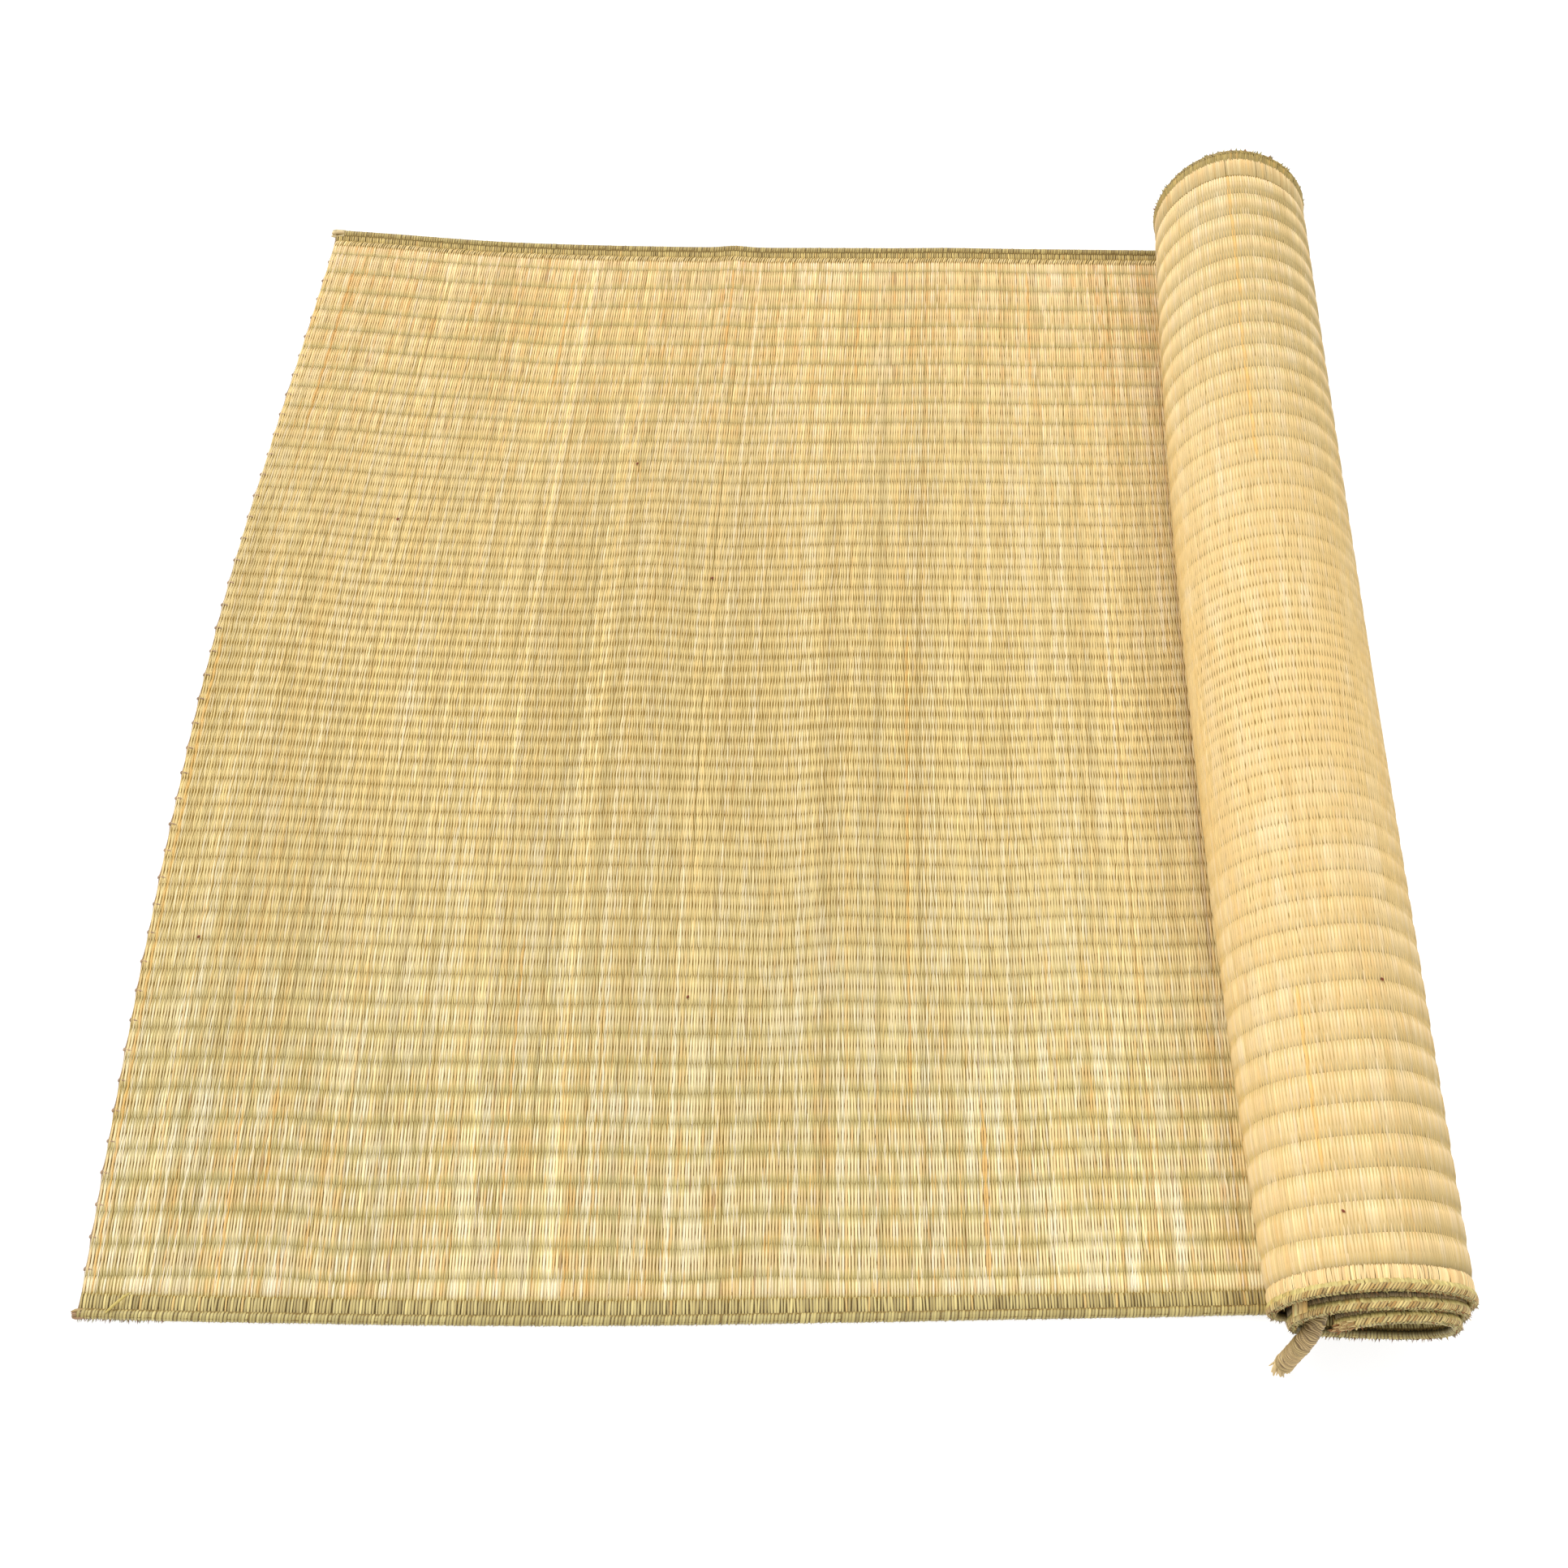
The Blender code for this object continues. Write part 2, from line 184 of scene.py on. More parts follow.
# Stems of another colour, and dark husks that lie on the stems.
MARKED_STEMS = (
    # red, green and blue, how much of it, then the stems: place s, from and to string
    ((232, 176, 80), 0.65, (
        (0.0035, 0, 47), (0.0200, 66, 83), (0.0770, 0, 12), (0.0965, 0, 14), (0.2040, 71, 84),
        (0.2405, 0, 24), (0.3380, 72, 84), (0.4450, 72, 84), (0.4915, 12, 48), (0.5365, 0, 13),
        (0.5870, 72, 84), (0.9400, 72, 85), (0.9425, 60, 73), (0.9586, 6, 18),
    )),
    ((255, 246, 218), 0.45, (
        (0.0050, 0, 12), (0.0900, 38, 78), (0.1050, 0, 12), (0.1345, 0, 14), (0.1430, 36, 60),
        (0.1890, 0, 42), (0.2240, 60, 84), (0.2475, 12, 34), (0.2980, 12, 24), (0.3400, 46, 76),
        (0.5295, 10, 24), (0.5520, 46, 72), (0.5830, 12, 24), (0.6370, 34, 62), (0.6785, 46, 84),
    )),
    ((140, 88, 40), 0.35, ((0.2215, 12, 36), (0.6900, 22, 74))),
)
HUSKS = (
    # place s, string
    (0.1090, 57.7), (0.0310, 23.0), (0.3480, 52.9), (0.2810, 63.7),
    (0.3490, 19.5), (0.7130, 0.5), (0.9096, 18.1), (0.9506, 3.3),
)

# Floats fade to olive at their ends: how far they do at each station, in the flat stretch's middle and far
# parts and round the roll, and where round the roll they do so. The lopsided far and roll fades are partly
# painted shade on each band's near slope.
MIDDLE_BAND = np.array((0.0, 0.22, 0.22, 0.0))
FAR_BAND = np.array((0.45, 0.28, 0.0, -0.15))
ROLL_BAND = np.array((1.0, 0.75, 0.10, 0.05))
ROLL_BAND_ZONES = ((0.0, 0.2, 0.5, 0.8, 1.0), (0.75, 0.60, 0.35, 0.85, 1.0))

# The lower face's floats, which show round the roll, are fuller, more alike and plainer, with less painted
# shade in their gaps.
ROLL_SIZE = 1.15
ROLL_VARIETY = 0.5
ROLL_NECK = 0.10
ROLL_GAP_DEPTH = 0.55
ROLL_PATCHES = 0.4
UNDERSIDE_SHARE = 0.65
# Painted shade at one end of each roll float, by the seam where it dips under a string.
SEAM_SHADE = np.array((0.72, 1.0, 1.0, 1.0))
# The upper face's floats inside the roll are darker by up to this, as painted shade.
INSIDE_SHADE = 0.75
# Added to the count of the far kind's stems, so that their fibres differ.
FAR_PHASE = 37.0

# Soft noise over the mat: its seed, and its size along s and as a share of the width.
FINE_TONE = (SEED + 3, 0.011, 0.50)
BROAD_TONE = (SEED + 4, 0.050, 0.30)
PATCHES = (SEED + 5, 0.006, 0.035)
WANDER = (SEED + 9, 0.050, 0.30)
DRIFT_PLACES = 9

# The hems: how far apart their wraps, fine rows, stitches and cut ends are.
WRAP_PITCH = 0.0021
FINE_PITCH = 0.0014
STITCH_PITCH = 0.0019
FRINGE_PITCH = 0.0011
NO_FADE = (0.0, 0.0, 0.0, 0.0)
HEM_ROWS = {
    # Hem and face. Each row has the two colours that its stems are picked between, its lean and pitch, and
    # for each station its distance from the hem's edge, height off the sheet's middle, half width as a share
    # of the pitch, and fade to olive.
    ("near", 1): (
        (((208, 190, 124), (168, 148, 88)), 0.0001, PAIR_PITCH, (0.0156, 0.0130, 0.0095, 0.0062),
         (0.0012, 0.0022, 0.0023, 0.0014), (0.40, 0.49, 0.50, 0.42), NO_FADE),
    ),
    ("near", -1): (
        (((232, 206, 150), (222, 184, 122)), 0.0, FINE_PITCH, (0.0156, 0.0132, 0.0100, 0.0064),
         (0.0012, 0.0021, 0.0022, 0.0018), (0.46, 0.51, 0.51, 0.46), NO_FADE),
        (((204, 188, 118), (176, 154, 88)), -0.0002, PAIR_PITCH, (0.0072, 0.0058, 0.0046, 0.0034),
         (0.0020, 0.0028, 0.0032, 0.0031), (0.48, 0.56, 0.56, 0.48), NO_FADE),
    ),
    ("far", 1): (
        (((234, 206, 142), (198, 168, 98)), 0.0011, PAIR_PITCH, (0.0156, 0.0138, 0.0118, 0.0100),
         (0.0010, 0.0019, 0.0020, 0.0010), (0.34, 0.48, 0.48, 0.36), NO_FADE),
        (((208, 182, 108), (172, 146, 80)), 0.0, PAIR_PITCH, (0.0104, 0.0092, 0.0076, 0.0058),
         (0.0010, 0.0019, 0.0022, 0.0018), (0.42, 0.52, 0.52, 0.46), NO_FADE),
    ),
    ("far", -1): (
        (((232, 206, 150), (222, 184, 122)), 0.0, FINE_PITCH, (0.0156, 0.0132, 0.0100, 0.0064),
         (0.0012, 0.0021, 0.0022, 0.0018), (0.54, 0.60, 0.60, 0.54), (0.72, 0.48, 0.05, 0.0)),
        (((172, 148, 78), (148, 124, 60)), -0.0002, FINE_PITCH, (0.0104, 0.0082, 0.0058, 0.0034),
         (0.0020, 0.0028, 0.0032, 0.0031), (0.48, 0.56, 0.56, 0.48), (0.9, 0.1, 0.0, 0.0)),
    ),
}
CORE_ANGLES = (28, 70, 110, 150, 190, 232)
STITCH_ANGLES = (292, 268, 244, 222)
STITCH_RADIUS = HEM_CORD_HALF * 1.08
HEM_WRAPS = {
    # Hem and face: colours, lean, pitch, radius, angles in degrees.
    ("near", 1): (((190, 174, 112), (166, 148, 88)), -0.0006, WRAP_PITCH, HEM_CORD_HALF, CORE_ANGLES),
    ("near", -1): (((214, 192, 124), (168, 128, 64)), 0.0014, STITCH_PITCH, STITCH_RADIUS, STITCH_ANGLES),
    ("far", 1): (((186, 166, 100), (158, 134, 74)), 0.0006, WRAP_PITCH, HEM_CORD_HALF, CORE_ANGLES),
    ("far", -1): (((172, 148, 78), (148, 124, 60)), 0.0014, STITCH_PITCH, STITCH_RADIUS, STITCH_ANGLES),
}
# Where a hem's wraps start, the turn where the lower face's rows do, and how much painted shade darkens
# hidden rows.
WRAP_STARTS = {"near": LEFT_START, "far": 0.0030}
ROLL_HEM_TURN = 0.02
HEM_SHADE = 0.93

# Round the roll, the far hem's rows reach this many times as far in from this distance on.
FAR_ROLL_HEM = 3.1
CORD_DEPTH = 0.0100

# The small loose things, the knobs of the hems' cores, the edge string and the tie.
LEAF_TURNS = (1.675, 1.735)
LEAF_ROW = (
    ((246, 214, 148), (234, 198, 128)), 0.0006, 0.0042, (0.0190, 0.0130, 0.0075, 0.0030),
    (0.0026, 0.0029, 0.0033, 0.0038), (0.50, 0.56, 0.56, 0.48), NO_FADE,
)
# How much painted shade darkens the caught leaf between the turns.
LEAF_SHADE = 0.15
TORN_ENDS = 44
KNOB_STEMS = 11
KNOBS = (
    # hem and its name, place s, colours, shares of the radius from root to tip, then pairs: length, radius,
    # and how far the stems stand off the middle at the root and the tip
    (-1, "near", 0.0022, ((176, 134, 100), (160, 136, 84)), (1, 1, 1.05, 0.95, 0.35), (0.0070, 0.0086),
     (0.0011, 0.0014), (0.0022, 0.0025)),
    (1, "far", 0.0050, ((206, 178, 124), (242, 222, 168)), (1, 1, 1.05, 0.95, 0.3), (0.0100, 0.0112),
     (0.0013, 0.0017), (0.0024, 0.0027)),
)
# In a bundle each stem lies this angle on from the last, and its tip is turned by the other, in radians.
GOLDEN_ANGLE = 2.39996
BUNDLE_TURN = 0.7
EDGE_KNOTS = 42
EDGE_STRING_AWAY = 0.0007
EDGE_STRING_HALF = 0.00042
# The tie's rings, the points round each, and the places where its wraps waver.
TIE_RINGS = 560
TIE_SIDES = 30
TIE_WOBBLES = 60
TIE_FRAY = (
    # how far back it starts, then pairs: length, how far the stems stand off the middle at root and tip, and
    # radius; then the number of stems, and shares of the radius from root to tip
    (0.003, (0.0070, 0.0095), (0.0040, 0.0044), (0.0010, 0.0013), 26, (1, 1, 1, 0.9, 0.5)),
    (0.002, (0.0050, 0.0088), (0.0046, 0.0064), (0.0007, 0.0012), 40, (1, 1.1, 1.1, 0.9, 0.45)),
)

# The light.
SKY_STRENGTH = 0.92
FLOOR_GLOW = 0.80
LAMPS = (
    # name, strength, angle it fills in degrees, direction
    ("key", 1.5, 40, (0.45, -0.55, -0.75)),
    ("fill", 0.4, 60, (-0.5, 0.4, -1.0)),
)


def curve(rows, column, places):
    """Smooth curves through one column of a table, read at places in its first column."""
    keys = np.array([row[0] for row in rows])
    values = np.array([row[column] for row in rows])
    last = len(keys) - 1
    index = np.clip(np.searchsorted(keys, places, "right") - 1, 0, last - 1)
    share = (places - keys[index]) / (keys[index + 1] - keys[index])
    start = values[index]
    end = values[index + 1]
    slope = (end - values[np.maximum(index - 1, 0)]) / 2
    end_slope = (values[np.minimum(index + 2, last)] - start) / 2
    square = share**2
    cube = share**3
    return (
        start * (2 * cube - 3 * square + 1)
        + slope * (cube - 2 * square + share)
        + end * (3 * square - 2 * cube)
        + end_slope * (cube - square)
    )


def roll_places(turns):
    """The sheet's middle and its direction in the XZ plane, each quarter turn a quarter of an ellipse."""
    index = np.minimum((turns * 4).astype(int), len(ROLL) - 2)
    angle = (turns * 4 - index) * math.pi / 2
    table = np.array(ROLL)[:, 1:3]
    x_from, z_from = table[index].T
    x_to, z_to = table[index + 1].T
    sine = np.sin(angle)
    cosine = np.cos(angle)
    even = index % 2 == 0
    x = np.where(even, x_from + (x_to - x_from) * sine, x_to + (x_from - x_to) * cosine)
    z = np.where(even, z_to + (z_from - z_to) * cosine, z_from + (z_to - z_from) * sine)
    along_x = (x_to - x_from) * np.where(even, cosine, sine)
    along_z = (z_to - z_from) * np.where(even, sine, cosine)
    length = np.hypot(along_x, along_z)
    return x, z, along_x / length, along_z / length


def sheet_path():
    """A dense table of the sheet's section, from the left edge to the inner end of the roll."""
    flat = np.linspace(LEFT_START, FLAT_LENGTH, FLAT_ROWS)
    turns = np.linspace(0, LAST_TURN, ROLL_ROWS)[1:]
    x, z, along_x, along_z = roll_places(turns)
    parts = {
        "x": (flat, x),
        "z": (SHEET_HALF, z),
        "up_x": (0, -along_z),
        "up_z": (1, along_x),
        "near": (curve(FLAT_HEMS, 1, flat), curve(ROLL, 3, turns)),
        "far": (curve(FLAT_HEMS, 2, flat), curve(ROLL, 4, turns)),
        "slack": (0, curve(ROLL, 5, turns)),
        "bow": (1 - flat / FLAT_LENGTH, 0),
        "turn": (0, turns),
    }
    path = {key: np.concatenate([first + 0 * flat, last + 0 * turns]) for key, (first, last) in parts.items()}
    level = np.clip((path["turn"] - LEVEL_TURNS[0]) / (LEVEL_TURNS[1] - LEVEL_TURNS[0]), 0, 1)
    path["lift"] = HEM_LIFT * (1 - level)
    lengths = np.hypot(np.diff(path["x"]), np.diff(path["z"]))
    path["s"] = LEFT_START + np.concatenate([[0.0], np.cumsum(lengths)])
    return path


PATH = sheet_path()
LENGTH = float(PATH["s"][-1])


def along(column, s):
    """A value of the sheet's section at a place s."""
    return np.interp(s, PATH["s"], PATH[column])


def at_turn(turn):
    """The place s at a turn of the roll."""
    return float(np.interp(turn, PATH["turn"][FLAT_ROWS:], PATH["s"][FLAT_ROWS:]))


def ripple(s, share):
    """How far the flat stretch rises in its few soft waves."""
    rise = np.zeros(np.broadcast(s, share).shape)
    for middle, width, height, centre, reach in RIPPLES:
        across = np.exp(-(((s - middle) / width) ** 2))
        rise += height * across * np.exp(-(((share - centre) / reach) ** 2))
    return rise * (s < FLAT_LENGTH)


def string_y(s, string):
    """The Y of a string, counted from the near hem's seam to the far one's, at a place s."""
    near = along("near", s) + HEM_DEPTH
    far = along("far", s) - HEM_DEPTH
    flat_drift = np.interp(string, *np.transpose(STRING_DRIFT))
    roll_drift = np.interp(string, *np.transpose(ROLL_DRIFT))
    drift = flat_drift + (roll_drift - flat_drift) * steps(*ROLL_BLEND, along("turn", s))
    return near + (far - near) * (string + drift) / STRING_SPACES


def edge_y(s, hem, distance):
    """The Y at a distance in from a hem's outer edge. hem is -1 for the near one and 1 for the far one."""
    return along("near", s) + distance if hem < 0 else along("far", s) - distance


def place(s, y, off):
    """Points in the frame, at a place s, a Y of the mat's own, and a height off the sheet's middle."""
    s, y, off = np.broadcast_arrays(s, y, off)
    near = along("near", s)
    share = (y - near) / (along("far", s) - near)
    bow = along("bow", s) * curve(LEFT_EDGE, 1, np.clip(share, 0, 1))
    x = along("x", s) + along("slack", s) * 4 * share * (1 - share) + bow + along("up_x", s) * off
    z = along("z", s) + along("up_z", s) * off + ripple(s, share)
    return stacked(x, y, np.maximum(z, LOWEST)) - MIDDLE


def core_place(s, hem, radius, angle):
    """Points round a hem's core. The angle starts towards the middle of the mat and passes over the top."""
    distance = HEM_CORD_HALF + radius * np.cos(angle)
    return place(s, edge_y(s, hem, distance), along("lift", s) + radius * np.sin(angle))


def streaks(s, share, seed, scale_s, scale_share):
    """Soft noise over the mat, drawn out along the stems, with a spread of about 1."""
    random = default_rng(seed)
    lattice = random.normal(0.0, 1.0, (int(LENGTH / scale_s) + 3, int(1 / scale_share) + 3))
    row = s / scale_s
    column = share / scale_share
    top = np.clip(row.astype(int), 0, lattice.shape[0] - 2)
    left = np.clip(column.astype(int), 0, lattice.shape[1] - 2)
    down = steps(0, 1, row - top)
    across = steps(0, 1, column - left)
    low = lattice[top, left] * (1 - down) + lattice[top + 1, left] * down
    high = lattice[top, left + 1] * (1 - down) + lattice[top + 1, left + 1] * down
    return low * (1 - across) + high * across


def linear(colour):
    """Linear values of a colour given in 0 to 255."""
    part = np.asarray(colour, float) / 255
    return np.where(part <= 0.04045, part / 12.92, ((part + 0.055) / 1.055) ** 2.4)


def mix(first, second, share):
    """Colours that pass from the first to the second by a share."""
    share = np.asarray(share)[..., None]
    return first * (1 - share) + second * share


def steps(low, high, value):
    """0 up to low and 1 from high on, with a smooth rise between."""
    part = np.clip((value - low) / (high - low), 0, 1)
    return part * part * (3 - 2 * part)


def stacked(*parts):
    """Values side by side on a last axis, after broadcasting."""
    return np.stack(np.broadcast_arrays(*parts), axis=-1)


def chance_tints(colours, spread, count, random):
    """Colours picked between two, each a little lighter or darker."""
    tint = mix(*colours, random.random(count))
    return tint * np.exp(random.normal(0, spread, (count, 1)))


# Colours, as linear values.
CREAM = linear((242, 222, 168))
WHITE = linear((255, 246, 218))
TAN = linear((222, 199, 136))
OLIVE = linear((182, 168, 104))
ORANGE = linear((228, 176, 92))
BROWN = linear((140, 88, 40))
BEIGE = linear((206, 178, 124))
TWINE = linear((172, 142, 112))
RUST = linear((120, 52, 24))
UNDERSIDE = linear((209, 173, 110))
BAND = linear((150, 130, 72))
# The ground below the stems, on the mat and in the hems, is dark as painted shade.
GROUND = linear((142, 112, 40))
HEM_GROUND = linear((136, 112, 58))
# How much a painted highlight raises the stems' colour along their ridges.
RIDGE_HIGHLIGHT = (1.45, 1.45, 1.55, 1.0)
CHANCE_STEMS = (
    # colour, the chances from and to which a stem has it, how much of it, and how many single floats have it
    (ORANGE, 0.00, 0.19, 0.50, 0.020),
    (WHITE, 0.19, 0.38, 0.75, 0.080),
    (OLIVE, 0.38, 0.50, 0.40, 0.020),
    (BROWN, 0.50, 0.52, 0.35, 0.004),
)

# A strip's three vertices, from edge to edge, and how much of its cell in the UV map it fills each way.
ACROSS = np.array((-1.0, 0.0, 1.0))
CELL_HALF = 0.44
# The map's columns of cells, against those of a square grid.
ATLAS_SHAPE = 1.2
# The weave layer's third value on stalks and spikes.
STALK_GAP = 0.35


def added(name, data):
    """A new object in the scene."""
    made = bpy.data.objects.new(name, data)
    bpy.context.scene.collection.objects.link(made)
    return made


def mesh_object(name, points, faces, look, layers=(), uv=None):
    """One joined piece from arrays. faces is a list of arrays of corner numbers, each with 3 or 4 columns."""
    mesh = bpy.data.meshes.new(name)
    corners = np.concatenate([block.ravel() for block in faces]).astype(np.int32)
    sizes = np.concatenate([np.full(len(block), block.shape[1]) for block in faces])
    mesh.vertices.add(len(points))
    mesh.vertices.foreach_set("co", points.astype(np.float32).ravel())
    mesh.loops.add(len(corners))
    mesh.loops.foreach_set("vertex_index", corners)
    mesh.polygons.add(len(sizes))
    mesh.polygons.foreach_set("loop_start", (np.cumsum(sizes) - sizes).astype(np.int32))
    mesh.update(calc_edges=True)
    mesh.shade_smooth()
    for layer_name, values in layers:
        layer = mesh.attributes.new(layer_name, "FLOAT_VECTOR", "POINT")
        layer.data.foreach_set("vector", values.astype(np.float32).ravel())
    if uv is not None:
        mesh.uv_layers.new(name="OFBake").data.foreach_set("uv", uv[corners].astype(np.float32).ravel())
    mesh.materials.append(look)
    made = added(name, mesh)
    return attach(made, "root")


def strips(s, y, off, half, drop, side, tint, phase, gap_depth):
    """A block of narrow strips with a higher ridge along each. s, y, off and half hold strips by stations,
    tint holds a colour for each station, and drop is how far a strip's edges lie below its ridge."""
    s, y, off, half = np.broadcast_arrays(s, y, off, half)
    grid_s = s[..., None] + half[..., None] * ACROSS
    height = off[..., None] - drop * np.abs(ACROSS)
    points = place(grid_s, y[..., None], side * height)
    return strip_block(points, grid_s, y, side, tint, phase, gap_depth)


def strip_block(points, grid_s, y, side, tint, phase, gap_depth=1.0):
    """Strips with their layers: tint, and weave, which counts stems and strings and rises at the gaps, where
    the material paints shade.
    """
    stem = grid_s / PAIR_PITCH + phase
    string = y[..., None] / STRING_STEP
    weave = stacked(stem, string, gap_depth * np.abs(ACROSS))
    tints = np.broadcast_to(tint[..., None, :], points.shape)
    return {"points": points, "weave": weave, "tint": tints, "side": side}


def joined_layers(blocks):
    """The points of all blocks, and their tint and weave layers."""
    points, tint, weave = (
        np.concatenate([block[key].reshape(-1, 3) for block in blocks]) for key in ("points", "tint", "weave")
    )
    return points, (("tint", tint), ("weave", weave))


def joined_strips(name, blocks, look):
    """One piece from blocks of strips. Each strip gets a cell of its own in the UV map."""
    strip_total = sum(len(block["points"]) for block in blocks)
    columns = math.ceil(ATLAS_SHAPE * math.sqrt(strip_total))
    rows = math.ceil(strip_total / columns)
    faces, uvs = [], []
    vertex = strip = 0
    for block in blocks:
        count, stations = block["points"].shape[:2]
        faces.append(grid_faces(count, stations, block["side"] < 0) + vertex)
        cell = strip + np.arange(count)[:, None, None]
        u = cell % columns + 0.5 + CELL_HALF * ACROSS
        v = cell // columns + 0.5 + CELL_HALF * np.linspace(-1, 1, stations)[:, None]
        uvs.append(stacked(u / columns, v / rows).reshape(-1, 2))
        vertex += count * stations * 3
        strip += count
    points, layers = joined_layers(blocks)
    return mesh_object(name, points, faces, look, layers, np.concatenate(uvs))


def grid_faces(strip_count, stations, flip):
    """Four-sided faces of strips three vertices wide, numbered strip by strip."""
    corner = np.arange(stations * 3).reshape(stations, 3)
    first = corner[:-1, :-1].ravel()
    order = [first, first + 1, first + 4, first + 3]
    cell = np.stack(order[::-1] if flip else order, axis=1)
    return (cell[None] + (np.arange(strip_count) * stations * 3)[:, None, None]).reshape(-1, 4)


def tube_faces(tubes, rings, sides):
    """Four-sided faces of open tubes, numbered tube by tube and ring by ring."""
    corner = np.arange(tubes * rings * sides).reshape(tubes, rings, sides)
    after = np.roll(corner, -1, axis=2)
    order = [corner[:, :-1], after[:, :-1], after[:, 1:], corner[:, 1:]]
    return np.stack([block.ravel() for block in order], axis=1)


def stalks(roots, tips, bend, radius, tint, profile, sides=5):
    """A block of short bent stalks. profile holds each ring's share of the radius, from root to tip."""
    rings = len(profile)
    share = np.linspace(0, 1, rings)[None, :, None]
    line = roots[:, None] + (tips - roots)[:, None] * share + bend[:, None] * 4 * share * (1 - share)
    ahead = tips - roots
    ahead = ahead / np.linalg.norm(ahead, axis=1)[:, None]
    other = np.where(np.abs(ahead[:, 2:]) > 0.9, (1.0, 0.0, 0.0), (0.0, 0.0, 1.0))
    across = np.cross(ahead, other)
    across /= np.linalg.norm(across, axis=1)[:, None]
    up = np.cross(across, ahead)
    angle = np.linspace(0, 2 * math.pi, sides, endpoint=False)
    ring = across[:, None] * np.cos(angle)[None, :, None] - up[:, None] * np.sin(angle)[None, :, None]
    size = radius[:, None] * np.asarray(profile)[None]
    points = line[:, :, None] + ring[:, None] * size[..., None, None]
    points[..., 2] = np.maximum(points[..., 2], LOWEST)
    tints = np.broadcast_to(tint[:, None, None], points.shape)
    weave = np.full(points.shape, STALK_GAP)
    weave[..., 0] = np.arange(len(roots))[:, None, None] + angle / 2
    weave[..., 1] = share
    return {"points": points, "tint": tints, "weave": weave}


def joined_stalks(name, blocks, look):
    """One piece from blocks of stalks."""
    faces, vertex = [], 0
    for block in blocks:
        faces.append(tube_faces(*block["points"].shape[:3]) + vertex)
        vertex += block["points"][..., 0].size
    points, layers = joined_layers(blocks)
    return mesh_object(name, points, faces, look, layers)


def principled(name, roughness=0.6):
    made = bpy.data.materials.new(name)
    made.use_nodes = True
    shader = made.node_tree.nodes["Principled BSDF"]
    shader.inputs["Roughness"].default_value = roughness
    return made, made.node_tree, shader


def opaque(colour):
    return (*colour, 1.0)


def node(tree, kind, inputs=(), **settings):
    """A new node. An input's value is a number, a colour or another node's output."""
    made = tree.nodes.new(kind)
    for name, value in settings.items():
        setattr(made, name, value)
    for socket, value in dict(inputs).items():
        if isinstance(value, bpy.types.NodeSocket):
            tree.links.new(value, made.inputs[socket])
        else:
            made.inputs[socket].default_value = value
    return made


def maths(tree, operation, first, second=0.0, third=0.0):
    return node(tree, "ShaderNodeMath", {0: first, 1: second, 2: third}, operation=operation).outputs[0]


def ranged(tree, value, low, high, to_low=0.0, to_high=1.0):
    sockets = {"Value": value, "From Min": low, "From Max": high, "To Min": to_low, "To Max": to_high}
    return node(tree, "ShaderNodeMapRange", sockets, interpolation_type="SMOOTHSTEP").outputs["Result"]


def mixed(tree, share, first, second, blend="MIX", clamped=False):
    sockets = {0: share, 6: first, 7: second}
    made = node(tree, "ShaderNodeMix", sockets, data_type="RGBA", blend_type=blend, clamp_result=clamped)
    return made.outputs[2]


def stem_look(name, gap_colour, gap_from, gap_depth, grain, painted_highlight):
    """Dry stems: their own tint, a painted highlight along the ridge, fine fibres along them, brown specks,
    and painted shade in the gaps at their edges, from gap_from on in the weave layer's third value."""
    made, tree, shader = principled(name)
    tint = node(tree, "ShaderNodeAttribute", attribute_name="tint").outputs["Color"]
    weave = node(tree, "ShaderNodeAttribute", attribute_name="weave").outputs["Vector"]
    axes = node(tree, "ShaderNodeSeparateXYZ", {0: weave})
    across = maths(tree, "MULTIPLY", axes.outputs["X"], 9.0)
    lengthwise = maths(tree, "MULTIPLY", axes.outputs["Y"], 0.55)
    stretched = node(tree, "ShaderNodeCombineXYZ", {"X": across, "Y": lengthwise}).outputs[0]
    fibre = node(tree, "ShaderNodeTexNoise", {"Vector": stretched, "Scale": 1.0, "Detail": 3.0}).outputs[0]
    shade = ranged(tree, fibre, 0.25, 0.75, 1 - grain, 1 + grain)
    grey = node(tree, "ShaderNodeCombineColor", {0: shade, 1: shade, 2: shade}).outputs[0]
    colour = mixed(tree, 1.0, tint, grey, "MULTIPLY")
    specks = node(tree, "ShaderNodeTexNoise", {"Vector": weave, "Scale": 0.9, "Detail": 2.0}).outputs[0]
    # A painted highlight along each stem's ridge.
    ridge = ranged(tree, axes.outputs["Z"], 0.0, 0.5, painted_highlight, 0.0)
    colour = mixed(tree, ridge, colour, RIDGE_HIGHLIGHT, "MULTIPLY", True)
    colour = mixed(tree, ranged(tree, specks, 0.73, 0.79, 0.0, 0.5), colour, opaque(BROWN))
    # Painted shade in the gaps at the stems' edges.
    gap = ranged(tree, axes.outputs["Z"], gap_from, 1.0, 0.0, gap_depth)
    colour = mixed(tree, gap, colour, opaque(linear(gap_colour)))
    tree.links.new(colour, shader.inputs["Base Color"])
    tree.links.new(ranged(tree, fibre, 0.3, 0.7, 0.42, 0.60), shader.inputs["Roughness"])
    bump = node(tree, "ShaderNodeBump", {"Height": fibre, "Strength": 0.35, "Distance": 0.0002})
    tree.links.new(bump.outputs[0], shader.inputs["Normal"])
    return made


